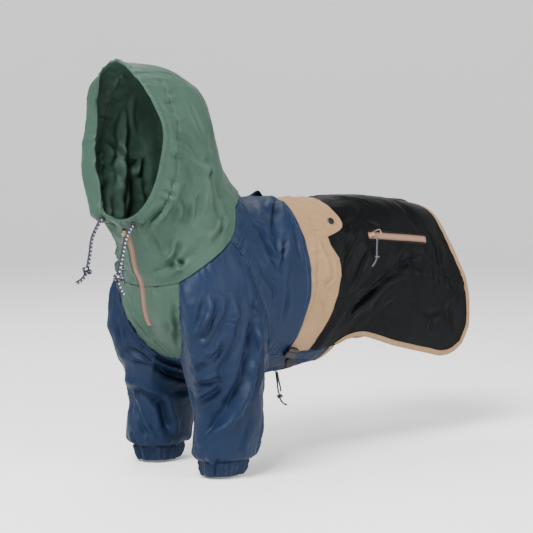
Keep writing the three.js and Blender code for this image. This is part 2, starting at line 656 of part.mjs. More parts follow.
function waistPanel() {
  const round = [...ROUND, ...TAB_ROUND].sort((a, b) => a - b);
  const [rows, half] = [5, round.length];
  const { columns, place } = sided(half);
  // Deeper still where the back panel's hem lies over it.
  const { smoothstep } = THREE.MathUtils;
  const depth = (u, v) => LAYER + 1.3 * smoothstep(backHemAt(roundOf(v)) + 0.12 - u, 0, 0.3);
  return panel("waist_panel", rows, columns, (i, j) => {
    const [sign, m] = place(j);
    const v = round[m];
    const u = lerp(backHemAt(v) - 0.3, tanHemU(v), i / (rows - 1));
    return [u, sign * (m === half - 1 ? seamAt(u) - stepV(u, v, SIDE_INSET) : v)];
  }, "tan", { depth });
}

// The rump panel comes up to the body surface behind the waist panel's hem, from this ring on.
const RISE = table(
  ["v", "u"],
  [[0, 11.72], [0.4, 11.72], [0.54, 11.42], [0.61, 11.24], [0.69, 11.1], [0.77, 11.1]],
);
const riseAt = reading(RISE, "v", "u");
const rumpDepth = (u, v) => {
  return RUMP_DEPTH * (1 - THREE.MathUtils.smoothstep(u - riseAt(roundOf(v)), 0, 0.5));
};
const rumpSeamSteps = 2;
function rumpPanel() {
  const [rows, half] = [rumpSeamSteps + STEPS.rump + 1, ROUND.length];
  const { columns, place } = sided(half);
  const free = chain([edge(RUMP_SEAM), rumpSeamSteps], [edge(RUMP_SIDE), STEPS.rump]);
  const rearEdge = edge(RUMP_REAR);
  const side = (i) => {
    const [u, v] = free(i);
    return [u, i <= rumpSeamSteps ? v - stepV(u, v, i < rumpSeamSteps ? SIDE_INSET : SEAM) : v];
  };
  const uv = patch(
    rows,
    columns,
    (j) => {
      const [sign, m] = place(j);
      const v = ROUND[m];
      return [Math.min(backHemAt(v) + 0.55, tanHemU(v) - 0.25), sign * v];
    },
    (j) => {
      const [sign, m] = place(j);
      const last = half - 1;
      const [u, v] = rearEdge(m === last ? 1 : m === last - 1 ? 0.96 : ((m + 0.15) / last) * 0.97);
      return [u, sign * v];
    },
    (i) => mirrorSpine(side(i)),
    side,
  );
  return panel("rump_panel", rows, columns, uv, "black", { depth: rumpDepth });
}

// The bound hem: a folded tape round the free edges of the rump and belly panels, all the way round.
function hemBinding(rump, belly) {
  const { width, wall: w, gap } = BINDING;
  const [lastRow, lastColumn] = [rump.rows - 1, rump.columns - 1];
  const station = (grid, i, j, inner) => {
    const { p, n } = grid.at(i, j);
    const outOf = ([a, b]) => p.clone().sub(grid.at(a, b).p).normalize();
    const x = inner.reduce((sum, from) => sum.add(outOf(from)), V3(0, 0, 0)).normalize();
    const y = n.clone().addScaledVector(x, -n.dot(x)).normalize();
    return { p, x, y };
  };
  const frames = [];
  const place = (...where) => frames.push(station(...where));
  for (let i = rumpSeamSteps; i < lastRow; i++) place(rump, i, lastColumn, [[i, lastColumn - 1]]);
  place(rump, lastRow, lastColumn, [[lastRow, lastColumn - 1], [lastRow - 1, lastColumn]]);
  for (let j = lastColumn - 1; j > 0; j--) place(rump, lastRow, j, [[lastRow - 1, j]]);
  place(rump, lastRow, 0, [[lastRow, 1], [lastRow - 1, 0]]);
  for (let i = lastRow - 1; i >= rumpSeamSteps; i--) place(rump, i, 0, [[i, 1]]);
  const bellyRow = belly.rows - 1;
  for (let j = belly.columns - 2; j > 0; j--) place(belly, bellyRow, j, [[bellyRow - 1, j]]);
  const corners = [0, 2 * (lastRow - rumpSeamSteps) + lastColumn];
  corners.forEach((k) => {
    const { p, x: ownWay, y: ownOut } = frames[k];
    const other = frames[k ? k + 1 : frames.length - 1];
    const x = ownWay.clone().add(other.x).normalize();
    frames[k] = { p, x, y: ownOut.clone().addScaledVector(x, -ownOut.dot(x)).normalize() };
  });
  const [low, high] = [-CLOTH - gap, gap];
  const section = [
    [-width, high], [gap, high], [gap, low], [-width, low], [-width, low - w], [gap + w, low - w],
    [gap + w, high + w], [-width, high + w],
  ];
  add("hem_binding", sweep(frames, section, true), "tan");
}

// ---- Sleeves ----
const ARM_KEYS = Object.keys(ARMHOLE[0]).slice(1);
const ARM_SIDES = [
  [neckSeam(RAGLAN[0].v, BIB_EDGE[0].v), STEPS.shoulder],
  [bibEdge, STEPS.bib],
  [underarm, STEPS.underarm],
  [reversed(raglan), STEPS.raglan],
];
const ARM_STEPS = ARM_SIDES.reduce((sum, [, steps]) => sum + steps, 0);
const armUV = chain(...ARM_SIDES);
// The place round the armhole, 0 to 4, after a number of grid steps.
function armPlace(step) {
  let left = step;
  for (let side = 0; side < ARM_SIDES.length; side++) {
    const steps = ARM_SIDES[side][1];
    if (left <= steps) return side + left / steps;
    left -= steps;
  }
  return ARM_SIDES.length;
}
const armLean = (place) => {
  const k = clamp(ARMHOLE.findIndex((r) => r.at > place) - 1, 0, ARMHOLE.length - 2);
  const row = place >= 4 ? ARMHOLE.length - 2 : k;
  return spline(ARMHOLE, ARM_KEYS, row + (place - ARMHOLE[row].at) / (ARMHOLE[row + 1].at - ARMHOLE[row].at));
};
function sleeveStart(step) {
  const wrap = (k) => (k + ARM_STEPS) % ARM_STEPS;
  const { p, n } = cloth(...armUV(step));
  const run = body(...armUV(wrap(step + 0.2))).sub(body(...armUV(wrap(step - 0.2))));
  const inward = n.clone().cross(run).normalize();
  return p.addScaledVector(inward, 2.2 * SEAM);
}
const JOIN = 0.72; // the share of the sleeve above its first ring
function sleevePoint(side, s, step) {
  const [angle, out, rear, down, reach] = armLean(armPlace(step));
  const turn = THREE.MathUtils.degToRad(angle);
  const ringAt = (k) => {
    const [x, y, z, across, along] = spline(SLEEVE_RINGS, Object.keys(SLEEVE_RINGS[0]), k);
    return V3(x + across * Math.cos(turn), y + along * Math.sin(turn), z);
  };
  const p = V3(0, 0, 0);
  if (s < JOIN) {
    const q = s / JOIN;
    const [q2, q3] = [q * q, q * q * q];
    p.addScaledVector(sleeveStart(step), 2 * q3 - 3 * q2 + 1);
    p.addScaledVector(V3(out, rear, -down).normalize(), (q3 - 2 * q2 + q) * reach);
    p.addScaledVector(ringAt(0), 3 * q2 - 2 * q3);
    p.addScaledVector(V3(0, 0, -1), (q3 - q2) * 0.6 * reach);
  } else {
    p.copy(ringAt(((s - JOIN) / (1 - JOIN)) * (SLEEVE_RINGS.length - 1)));
  }
  return V3(side * p.x, p.y, p.z);
}
function stepAtAngle(angle) {
  const wanted = angle > 20 ? angle - 360 : angle;
  const steps = Array.from({ length: 10 * ARM_STEPS }, (_, k) => k / 10);
  const miss = (k) => Math.abs(armLean(armPlace(k))[0] - wanted);
  return steps.reduce((best, k) => (miss(k) < miss(best) ? k : best), 0);
}
function sleeve(side, name) {
  const routes = SLEEVE_FOLDS.filter((f) => f.side === side).map(({ depth, width, route }) => ({
    depth,
    width,
    points: route.map(([angle, s]) => sleevePoint(side, s, stepAtAngle(angle))),
  }));
  const [rows, columns] = [9, ARM_STEPS];
  const e = 0.05;
  const at = (i, j) => {
    const s = i / (rows - 1);
    const p = sleevePoint(side, s, j);
    const [before, after] = [(j - e + columns) % columns, (j + e) % columns];
    const round = sleevePoint(side, s, after).sub(sleevePoint(side, s, before));
    const down = sleevePoint(side, Math.min(s + 0.01, 1), j);
    down.sub(sleevePoint(side, Math.max(s - 0.01, 0), j));
    const n = down.cross(round).normalize().multiplyScalar(-side);
    const settle = THREE.MathUtils.smoothstep(s, 0, 0.15);
    return { p: p.clone().addScaledVector(n, settle * foldHeight(p, routes)), n };
  };
  wall(`sleeve_${name}`, rows, columns, at, "blue", { loop: true });
}
function cuff(side, name) {
  const { length, across, along, gather, pleats } = CUFF;
  const top = SLEEVE_RINGS[SLEEVE_RINGS.length - 1];
  const [rows, columns] = [3, 2 * pleats];
  const at = (i, j) => {
    const a = (2 * Math.PI * j) / columns;
    const s = i / (rows - 1);
    const pleat = gather * (j % 2 ? 1 : -1) * Math.sin(Math.PI * (0.15 + 0.7 * s));
    const [rx, ry] = [lerp(top.across, across, s) + pleat, lerp(top.along, along, s) + pleat];
    const n = V3(side * Math.cos(a), Math.sin(a), 0);
    const z = top.z - 2 * SEAM - s * length;
    return { p: V3(side * (top.x - s * 2) + side * rx * Math.cos(a), top.y + ry * Math.sin(a), z), n };
  };
  wall(`cuff_${name}`, rows, columns, at, "blue", { loop: true });
}

// ---- Zips ----
// The neck zip fills the slot between the hood's sides, and then the slot in the bib.
function neckZip(left, right, bibGrid) {
  const shared = [];
  for (let i = ZIP_FIRST; i < HOOD_RINGS.length; i++) {
    shared.push([left.at(i, left.columns - 1), right.at(i, right.columns - 1)]);
  }
  const half = STEPS.throat;
  for (let i = 0; i <= BIB_FOOT; i++) shared.push([bibGrid.at(i, half), bibGrid.at(i, half + 1)]);
  const frames = shared.map(([a, b]) => {
    const middle = a.p.clone().add(b.p).divideScalar(2);
    const x = a.p.clone().sub(b.p);
    const n = a.n.clone().add(b.n).normalize();
    const halfWidth = x.length() / 2 - 2 * SEAM;
    const y = n.addScaledVector(x, -n.dot(x) / x.lengthSq()).normalize();
    return { p: middle, x: x.normalize().multiplyScalar(halfWidth), y };
  });
  // Its foot stops short of the bib.
  const last = frames[frames.length - 1];
  const before = frames[frames.length - 2];
  last.p.addScaledVector(before.p.clone().sub(last.p).normalize(), 3 * SEAM);
  add("neck_zip_tape", sweep(frames, box2(-1, 1, -TAPE, 0)), "zip");
  return frames;
}

// A slider with an eye over it, in which the wire link of the pull swings.
const SLIDER = { length: 9, width: 5, height: 2, eye: 1.15, axis: 3.3, boss: 2.4 };
function zipSlider(name, at, along, out) {
  const { length, width, height, eye, axis, boss } = SLIDER;
  const dip = Math.asin((axis - height) / boss);
  const shape = new THREE.Shape();
  shape.moveTo(-length / 2, 0);
  shape.lineTo(length / 2, 0);
  shape.lineTo(length / 2, height - 0.6);
  shape.lineTo(boss + 0.3, height);
  shape.absarc(0, axis, boss, -dip, Math.PI + dip, false);
  shape.lineTo(-boss - 0.3, height);
  shape.lineTo(-length / 2, height - 0.6);
  shape.closePath();
  const eyeHole = new THREE.Path();
  eyeHole.absarc(0, axis, eye, 0, 2 * Math.PI, true);
  shape.holes.push(eyeHole);
  const geometry = new THREE.ExtrudeGeometry(shape, { depth: width, bevelEnabled: false, curveSegments: 10 });
  geometry.translate(0, 0, -width / 2);
  add(name, placed(geometry, at, along, out), "zip");
}
// Points [run, hinge] and outward ways round a rounded rectangle that starts at the hinge bar.
function linkLoop(span, half, corner) {
  const centres = [
    [corner, half - corner, 180],
    [span - corner, half - corner, 90],
    [span - corner, -(half - corner), 0],
    [corner, -(half - corner), -90],
  ];
  return centres.flatMap(([a, b, start]) =>
    [0, 30, 60, 90].map((turn) => {
      const angle = THREE.MathUtils.degToRad(start - turn);
      const [na, nb] = [Math.cos(angle), Math.sin(angle)];
      return [a + corner * na, b + corner * nb, na, nb];
    }),
  );
}
function pullLink(name, at, run, hinge) {
  const { wire, inside, length } = PULL;
  const out = hinge.clone().cross(run).normalize();
  const frames = linkLoop(length - wire, (inside + wire) / 2, 1.8).map(([a, b, na, nb]) => ({
    p: at.clone().addScaledVector(run, a).addScaledVector(hinge, b),
    x: run.clone().multiplyScalar(na).addScaledVector(hinge, nb),
    y: out,
  }));
  add(name, sweep(frames, circle(wire / 2, 8), true), "metal");
}

// ---- Cords ----
const routes = new Map();
function cord(name, points, diameter) {
  const curve = new THREE.CatmullRomCurve3(points.map((p) => V3(...p)), false, "centripetal");
  const steps = Math.max(6, Math.ceil(curve.getLength() / (2.2 * diameter)));
  const shape = new THREE.Shape(circle(diameter / 2, 8).map(([x, y]) => new THREE.Vector2(x, y)));
  add(name, new THREE.ExtrudeGeometry(shape, { steps, extrudePath: curve, curveSegments: 1 }), "cord");
  routes.set(name, { curve, diameter });
}
// A ring round a cord, standing for its knot, at the place on the cord nearest to centre.
function knot(name, cordName, centre, length, radius) {
  const { curve, diameter } = routes.get(cordName);
  const shares = Array.from({ length: 201 }, (_, k) => k / 200);
  const far = (t) => curve.getPointAt(t).distanceTo(V3(...centre));
  const share = shares.reduce((best, t) => (far(t) < far(best) ? t : best), 0);
  const hole = diameter / 2 + 0.7;
  const profile = [
    [hole, -length / 2], [radius - 1, -length / 2], [radius, -length / 4], [radius, length / 4],
    [radius - 1, length / 2], [hole, length / 2], [hole, -length / 2],
  ];
  const geometry = lathe(profile, 12);
  const turn = new THREE.Quaternion().setFromUnitVectors(V3(0, 1, 0), curve.getTangentAt(share));
  geometry.applyQuaternion(turn).translate(...curve.getPointAt(share).toArray());
  add(name, geometry, "cord");
}
// A gland with a blind seat for a cord's end, standing on a grid.
function eyelet(name, at, out) {
  const geometry = lathe([[0, 0], [5.1, 0], [5.1, 1], [4.6, 1.8], [3.4, 1.8], [3.4, 0.5], [0, 0.5]], 16);
  geometry.applyQuaternion(new THREE.Quaternion().setFromUnitVectors(V3(0, 1, 0), out));
  add(name, geometry.translate(...at.toArray()), "plastic");
}

// ---- Making the jacket ----
const left = hoodSide("hood_left", 1);
const right = hoodSide("hood_right", -1);
hoodCenter();
const bibGrid = bib();
backPanel();
const belly = bellyPanel();
const waist = waistPanel();
const rump = rumpPanel();
hemBinding(rump, belly);
[["left", 1], ["right", -1]].forEach(([name, side]) => {
  sleeve(side, name);
  cuff(side, name);
});

const neckFrames = neckZip(left, right, bibGrid);
const [tapeTop, tapeNext] = neckFrames;
const zipRun = tapeNext.p.clone().sub(tapeTop.p).normalize();
const neckOut = tapeTop.y.clone().addScaledVector(zipRun, -tapeTop.y.dot(zipRun)).normalize();
const neckSeat = tapeTop.p.clone()
  .addScaledVector(zipRun, SLIDER.length / 2 + 1)
  .addScaledVector(neckOut, LAY);
zipSlider("neck_zip_slider", neckSeat, zipRun, neckOut);
const neckAxis = neckSeat.clone().addScaledVector(neckOut, SLIDER.axis);
pullLink("neck_zip_ring", neckAxis, V3(0, 0, -1), V3(1, 0, 0));

// The pocket zip on the left of the rump, its slider at the front end, the pull standing up and back.
const pocketEnds = [locate(rump, 12.28, 0.326), locate(rump, 13.82, 0.32)];
const pocket = strip(rump, ...pocketEnds, "x", ZIP_WIDTH, TAPE, 2 * LAY);
add("pocket_zip_tape", pocket.geometry, "zip");
const [pocketFront, pocketNext] = pocket.frames;
const pocketRun = pocketNext.p.clone().sub(pocketFront.p).normalize();
const pocketOut = pocketFront.y.clone().addScaledVector(pocketRun, -pocketFront.y.dot(pocketRun)).normalize();
const pocketSeat = pocketFront.p.clone()
  .addScaledVector(pocketRun, SLIDER.length / 2 + 1)
  .addScaledVector(pocketOut, TAPE + LAY);
zipSlider("pocket_zip_slider", pocketSeat, pocketRun, pocketOut);
const pocketAxis = pocketSeat.clone().addScaledVector(pocketOut, SLIDER.axis);
const lift = THREE.MathUtils.degToRad(PULL.raised);
const pocketWay = pocketRun.clone().multiplyScalar(Math.cos(lift)).addScaledVector(pocketOut, Math.sin(lift));
const pocketHinge = pocketOut.clone().cross(pocketRun).normalize();
pullLink("pocket_zip_ring", pocketAxis, pocketWay, pocketHinge);

// Snap caps on the two tabs of the waist panel.
[["left", 1], ["right", -1]].forEach(([name, side]) => {
  const { p, n } = facet(waist, ...locate(waist, SNAP.u, side * SNAP.v));
  const geometry = lathe([[0, 0], [5.5, 0], [5.5, 1], [4.6, 1.9], [2.5, 2.2], [0, 2.2]], 20);
  geometry.applyQuaternion(new THREE.Quaternion().setFromUnitVectors(V3(0, 1, 0), n));
  add(`snap_${name}`, geometry.translate(...p.addScaledVector(n, LAY).toArray()), "plastic");
});

// The loop on the spine of the rump, which reaches back over the bound hem.
const loopColumn = rump.columns / 2 - 0.5;
const loopFrom = locate(rump, LOOP.from, 0.001)[0];
const loopStart = facet(rump, loopFrom, loopColumn);
const hemPlace = facet(rump, rump.rows - 1, loopColumn);
const loopRun = hemPlace.p.clone().sub(loopStart.p);
const hemAt = loopRun.length();
loopRun.normalize();
const loopOut = V3(1, 0, 0).cross(loopRun).normalize();
const loopStations = table(
  ["run", "rise"],
  [[0, LAY], [hemAt - BINDING.width - 3, LOOP.over], [hemAt + 3, LOOP.over], [hemAt + LOOP.beyond, 0.6]],
);
const loopFrames = loopStations.map(({ run, rise }) => ({
  p: loopStart.p.clone().addScaledVector(loopRun, run).addScaledVector(loopOut, rise),
  x: V3(1, 0, 0),
  y: loopOut,
}));
add("back_loop", sweep(loopFrames, box2(-LOOP.width / 2, LOOP.width / 2, 0, LOOP.thickness)), "black");

// The strap under the belly, from the buckle on the left to the right side seam.
const strapFrom = locate(belly, 10.42, 0.793);
const strapLow = locate(belly, 10.78, 0.9);
const bellyEnd = belly.columns - 1;
const strapRow = (column) => {
  const share = (Math.min(column, bellyEnd - column) - strapFrom[1]) / (strapLow[1] - strapFrom[1]);
  return lerp(strapFrom[0], strapLow[0], clamp(share, 0, 1));
};
const strapColumns = [strapFrom[1]];
for (let y = Math.ceil(strapFrom[1] + 0.1); y <= bellyEnd - 1; y++) strapColumns.push(y);
strapColumns.push(bellyEnd - 0.6);
const strapPlaces = strapColumns.map((y) => facet(belly, strapRow(y), y));
const strapFrames = strapPlaces.map((place, m) => {
  const run = strapPlaces[Math.min(m + 1, strapPlaces.length - 1)].p.clone();
  run.sub(strapPlaces[Math.max(m - 1, 0)].p).normalize();
  const x = place.columnWay.clone().addScaledVector(run, -place.columnWay.dot(run)).normalize();
  const y = run.clone().cross(x).normalize();
  const out = y.dot(place.n) < 0 ? y.negate() : y;
  return { p: place.p.clone().addScaledVector(out, 0.5), x, y: out };
});
const strapSection = box2(-WEBBING.width / 2, WEBBING.width / 2, 0, WEBBING.thickness);
add("strap", sweep(strapFrames, strapSection), "black");

// The fastened side-release buckle at the strap's upper end: its plug's tongue stands in the socket.
const buckleAt = cloth(BUCKLE.u, BUCKLE.v);
const buckleOut = buckleAt.n;
const buckleWide = V3(0, 0.94, -0.34);
buckleWide.addScaledVector(buckleOut, -buckleWide.dot(buckleOut)).normalize();
const buckleDown = buckleWide.clone().cross(buckleOut).normalize();
if (buckleDown.z > 0) buckleDown.negate();
function plate(width, length, thickness, corner, from, up) {
  const [x, y] = [width / 2, length];
  const shape = new THREE.Shape();
  shape.moveTo(-x + corner, 0);
  shape.lineTo(x - corner, 0);
  shape.absarc(x - corner, corner, corner, -Math.PI / 2, 0, false);
  shape.absarc(x - corner, y - corner, corner, 0, Math.PI / 2, false);
  shape.absarc(-x + corner, y - corner, corner, Math.PI / 2, Math.PI, false);
  shape.absarc(-x + corner, corner, corner, Math.PI, 1.5 * Math.PI, false);
  const depth = thickness;
  const geometry = new THREE.ExtrudeGeometry(shape, { depth, bevelEnabled: false, curveSegments: 4 });
  return solid(geometry.translate(0, from, up));
}
function buckle() {
  const { width, plug, socket, thickness, tongue } = BUCKLE;
  const [start, gap] = [-(plug + socket) / 2, 0.4];
  const [holeWide, holeHigh, floor] = [width - 8, thickness - 2.6, 1.3];
  const hole = plate(holeWide, tongue + 2, holeHigh, 0.5, start + plug - 1, floor);
  const socketBody = plate(width, socket, thickness, 3.5, start + plug + gap, 0).subtract(hole);
  const [tongueWide, tongueHigh] = [holeWide - 2 * gap, holeHigh - 2 * gap];
  const tongueStart = start + plug - 2 - gap;
  const tongueBody = plate(tongueWide, tongue + 2, tongueHigh, 0.5, tongueStart, floor + gap);
  const plugBody = plate(width - 2, plug, thickness - 1, 2.5, start, 0.5).add(tongueBody);
  const seat = buckleAt.p.clone().addScaledVector(buckleOut, 0.5);
  const side = buckleDown.clone().cross(buckleOut).normalize();
  const stand = new THREE.Matrix4().makeBasis(side, buckleDown, buckleOut.clone()).setPosition(seat);
  if (stand.determinant() < 0) {
    stand.makeBasis(side.negate(), buckleDown, buckleOut.clone()).setPosition(seat);
  }
  add("buckle_socket", geometryFrom(socketBody).applyMatrix4(stand), "plastic");
  add("buckle_plug", geometryFrom(plugBody).applyMatrix4(stand), "plastic");
}
buckle();

// Eyelets and cords. Each drawcord leaves its eyelet under the chin and hangs to a knot near its end.
function seatOn(grid, u, v, rise) {
  const { p, n } = facet(grid, ...locate(grid, u, v));
  return { p: p.addScaledVector(n, rise), n };
}
const above = ({ p, n }, rise, side = 0) => p.clone().addScaledVector(n, rise).add(V3(side, 0, 0)).toArray();
const chinLeft = seatOn(left, 0.6, 0.915, 0.6);
const chinRight = seatOn(right, 0.5, -0.85, 0.6);
eyelet("eyelet_left", chinLeft.p, chinLeft.n);
eyelet("eyelet_right", chinRight.p, chinRight.n);
cord("drawcord_left", [
  above(chinLeft, 0.9), above(chinLeft, 4.5), [27.5, -236, -44], [29.5, -244, -68], [30, -250, -88],
  [30.2, -251, -95], [30.4, -251.6, -102], [30, -247, -112], [29, -241, -120],
], CORD.drawcord);
cord("drawcord_right", [
  above(chinRight, 0.9), above(chinRight, 4.5), [-39, -243, -46], [-36, -249, -66], [-35, -253.5, -83],
  [-35, -256, -90], [-35, -259, -97], [-35, -266, -103], [-35, -274, -106],
], CORD.drawcord);
knot("drawcord_left_knot", "drawcord_left", [30.2, -251, -95], 10, 7.2);
knot("drawcord_right_knot", "drawcord_right", [-35, -256, -90], 10, 7.2);

// The pull cord of each zip hangs from its link.
const ringFoot = neckAxis.clone().add(V3(0, 0, -(PULL.length - PULL.wire / 2) - 0.35));
const [ringX, ringY, ringZ] = ringFoot.toArray();
cord("neck_zip_cord", [
  [ringX, ringY, ringZ], [0, ringY - 0.4, ringZ - 10], [0.3, -221, -80], [0.5, -221.6, -86], [0.7, -222, -92],
  [1, -221, -100], [1.5, -219, -108],
], CORD.pull);
knot("neck_zip_knot", "neck_zip_cord", [0.5, -221.7, -88], 6, 4.2);
const pullFoot = pocketAxis.clone().addScaledVector(pocketWay, 4);
const below = (d) => {
  const drop = PULL.inside / 2 + PULL.wire + 0.35 + d;
  return pullFoot.clone().addScaledVector(pocketHinge, -drop).toArray();
};
cord("pocket_zip_cord", [
  below(0), below(5), [98, 174.5, -74.5], [98.6, 174, -82], [98.8, 172.6, -90], [98.6, 169, -96],
  [98.4, 163, -101],
], CORD.pull);
knot("pocket_zip_knot", "pocket_zip_cord", [98.7, 173.5, -86], 6, 4.2);

// The elastic of the underside comes out of an eyelet in two strands, which meet at a knot.
const bellySeat = seatOn(belly, 10.56, 0.935, LAY);
eyelet("belly_eyelet", bellySeat.p, bellySeat.n);
cord("belly_cord_front", [
  above(bellySeat, 2.3, -1.7), above(bellySeat, 6, -1.8), [18.7, 46.4, -270], [18.6, 48.6, -283],
  [19.6, 50, -290], [20.2, 51.5, -296], [20.2, 57, -302], [20, 65, -306],
], CORD.elastic);
cord("belly_cord_rear", [
  above(bellySeat, 2.3, 1.7), above(bellySeat, 6, 1.9), [22.1, 46.6, -268], [21.9, 49.6, -277],
  [21.6, 51.4, -284.2],
], CORD.elastic);
knot("belly_knot", "belly_cord_front", [19.8, 50.2, -291], 8, 5.2);

export default jacket;
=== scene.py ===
"""A hooded dog rain jacket, worn hollow, in the frame of its CAD model.

One smooth body surface carries the panels: u counts rings from the face to the tail, and v runs round
the body, 0 on the spine, 0.5 on the left, 1 on the belly line, negative on the right. Shapes are worked
out in millimetres and made in metres.
"""

import math

import bpy
import numpy as np
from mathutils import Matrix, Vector
from mathutils.bvhtree import BVHTree


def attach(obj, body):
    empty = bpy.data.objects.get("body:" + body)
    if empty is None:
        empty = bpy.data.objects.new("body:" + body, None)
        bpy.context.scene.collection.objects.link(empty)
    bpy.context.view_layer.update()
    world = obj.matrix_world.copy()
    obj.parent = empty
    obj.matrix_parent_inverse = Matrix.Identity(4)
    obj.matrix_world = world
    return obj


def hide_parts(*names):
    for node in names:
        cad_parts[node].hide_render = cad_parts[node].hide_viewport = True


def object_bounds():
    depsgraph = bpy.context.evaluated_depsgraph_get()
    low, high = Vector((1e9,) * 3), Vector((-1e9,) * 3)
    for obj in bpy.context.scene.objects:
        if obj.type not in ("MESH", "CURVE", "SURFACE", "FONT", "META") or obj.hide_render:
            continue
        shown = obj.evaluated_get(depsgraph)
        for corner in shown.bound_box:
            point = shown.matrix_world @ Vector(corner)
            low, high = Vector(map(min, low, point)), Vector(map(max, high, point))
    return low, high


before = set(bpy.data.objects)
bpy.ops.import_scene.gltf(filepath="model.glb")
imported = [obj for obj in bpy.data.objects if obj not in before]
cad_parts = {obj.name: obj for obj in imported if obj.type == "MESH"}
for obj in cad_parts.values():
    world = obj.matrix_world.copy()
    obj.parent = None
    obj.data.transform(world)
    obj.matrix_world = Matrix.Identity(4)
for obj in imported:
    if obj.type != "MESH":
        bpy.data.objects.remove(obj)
cad_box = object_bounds()

MM = 0.001
# Millimetres, as everything is up to make_mesh.
CLOTH = 1.0  # thickness of the nylon, turnings apart
SEAM = -0.05  # how far a panel stops short of its seam: they overlap a hair, so no light comes through
LAYER = 1.65  # how far the waist panel lies under the surface
RUMP_DEPTH = 4.0  # the same for the rump panel's front
ZIP_HALF = 6.0  # half the width of a zip's opening
GRID = 2.4  # spacing of the cloth's mesh
NECK = 6.0  # u at the neck seam

# ---- Camera, at the photograph's angle ----
CAMERA = {"azimuth": 48, "elevation": 5, "distance": 2.2, "lens": 102.48}
TARGET = Vector((0.0271, 0.0175, -0.0961))


def add_camera():
    turn, rise = math.radians(CAMERA["azimuth"]), math.radians(CAMERA["elevation"])
    back = Vector((math.sin(turn) * math.cos(rise), -math.cos(turn) * math.cos(rise), math.sin(rise)))
    data = bpy.data.cameras.new("camera")
    data.lens = CAMERA["lens"]
    data.sensor_width = 36
    camera = bpy.data.objects.new("camera", data)
    bpy.context.collection.objects.link(camera)
    camera.location = TARGET + back * CAMERA["distance"]
    camera.rotation_euler = back.to_track_quat("Z", "Y").to_euler()
    bpy.context.scene.camera = camera


add_camera()

# ---- The body surface ----
# Top and bottom points in the middle plane, half width, how square the upper and lower halves are, the
# bow of the sides towards the face, and the squareness of the upper right quarter.
RINGS = np.array([
    # yTop zTop yBottom zBottom half upper lower bow upperRight
    [-228, 193, -227, -20, 84, 1.55, 2.0, -8, 2.3],  # face
    [-201, 192, -216, -38, 88, 1.65, 2.1, -6, 2.2],  # band
    [-158, 187, -211, -51, 86, 1.75, 2.2, 2, 2.0],  # crown
    [-106, 163, -207, -64, 83, 1.9, 2.2, 2, 1.9],  # back of head
    [-85, 114, -203, -78, 83, 1.95, 2.3, 0, 1.95],  # nape
    [-68, 58, -198, -93, 84, 1.95, 2.6, 0, 1.95],  # neck
    [-20, 3, -190, -110, 88, 1.95, 3.4, 0, 1.95],  # collar
    [6, 5, -179, -165, 91, 1.95, 3.6, 0, 1.95],  # upper chest
    [22, 5, -136, -217, 93, 1.95, 3.0, 0, 1.95],  # lower chest
    [38, 5, -66, -244, 94, 1.95, 2.2, 0, 1.95],  # brisket
    [58, 5, 6, -254, 94, 1.95, 2.0, 0, 1.95],  # ribs
    [100, 4, 72, -251, 94, 2.1, 2.1, 0, 2.1],  # waist
    [150, 3, 140, -245, 94, 2.4, 2.6, 0, 2.4],  # loin
    [225, 2, 228, -290, 95, 3.0, 3.6, 0, 3.0],  # hip
    [305, -8, 308, -305, 95, 3.1, 4.5, 0, 3.1],  # rump
    [370, -23, 372, -312, 95, 2.8, 4.5, 0, 3.1],  # dock
    [412, -37, 414, -314, 92, 2.7, 4.5, 0, 3.1],  # rear
])


# The right side of the hood's face edge is rolled inwards: how far the cloth goes inwards and forwards, at
# each step of u from the edge. It fades out towards the crown and the chin.
ROLL = np.array([[20, 2], [8, 9], [-3, 13], [-7.5, 11], [-7, 7], [-4.5, 3], [-2, 0.6], [0, 0]])
ROLL_STEP = 0.2


def running(rows, at):
    """Catmull-Rom through rows, at running indices."""
    rows, at = np.asarray(rows, float), np.asarray(at, float)
    last = len(rows) - 1
    i = np.clip(np.floor(at).astype(int), 0, last - 1)
    t = (np.clip(at, 0, last) - i)[..., None]
    a, b, c, d = rows[np.maximum(i - 1, 0)], rows[i], rows[i + 1], rows[np.minimum(i + 2, last)]
    m1, m2 = (c - a) / 2, (d - b) / 2
    t2, t3 = t * t, t * t * t
    return (2 * t3 - 3 * t2 + 1) * b + (t3 - 2 * t2 + t) * m1 + (3 * t2 - 2 * t3) * c + (t3 - t2) * m2


def smooth(x, low, high):
    t = np.clip((x - low) / (high - low), 0, 1)
    return t * t * (3 - 2 * t)


def bell(x, width, power=2):
    """1 at x = 0, falling off on both sides over width; a higher power has a flatter top."""
    return np.exp(-((x / width) ** power))


def together(*values):
    """Arrays broadcast and stacked as the last axis of one."""
    return np.stack(np.broadcast_arrays(*values), -1)


def run_of(line):
    """Distance along a polyline at each of its points."""
    return np.concatenate([[0], np.cumsum(np.linalg.norm(np.diff(line, axis=0), axis=1))])


def read_at(places, run, rows):
    """Rows that belong to distances run, read at other distances."""
    return np.stack([np.interp(places, run, rows[:, k]) for k in range(rows.shape[1])], -1)


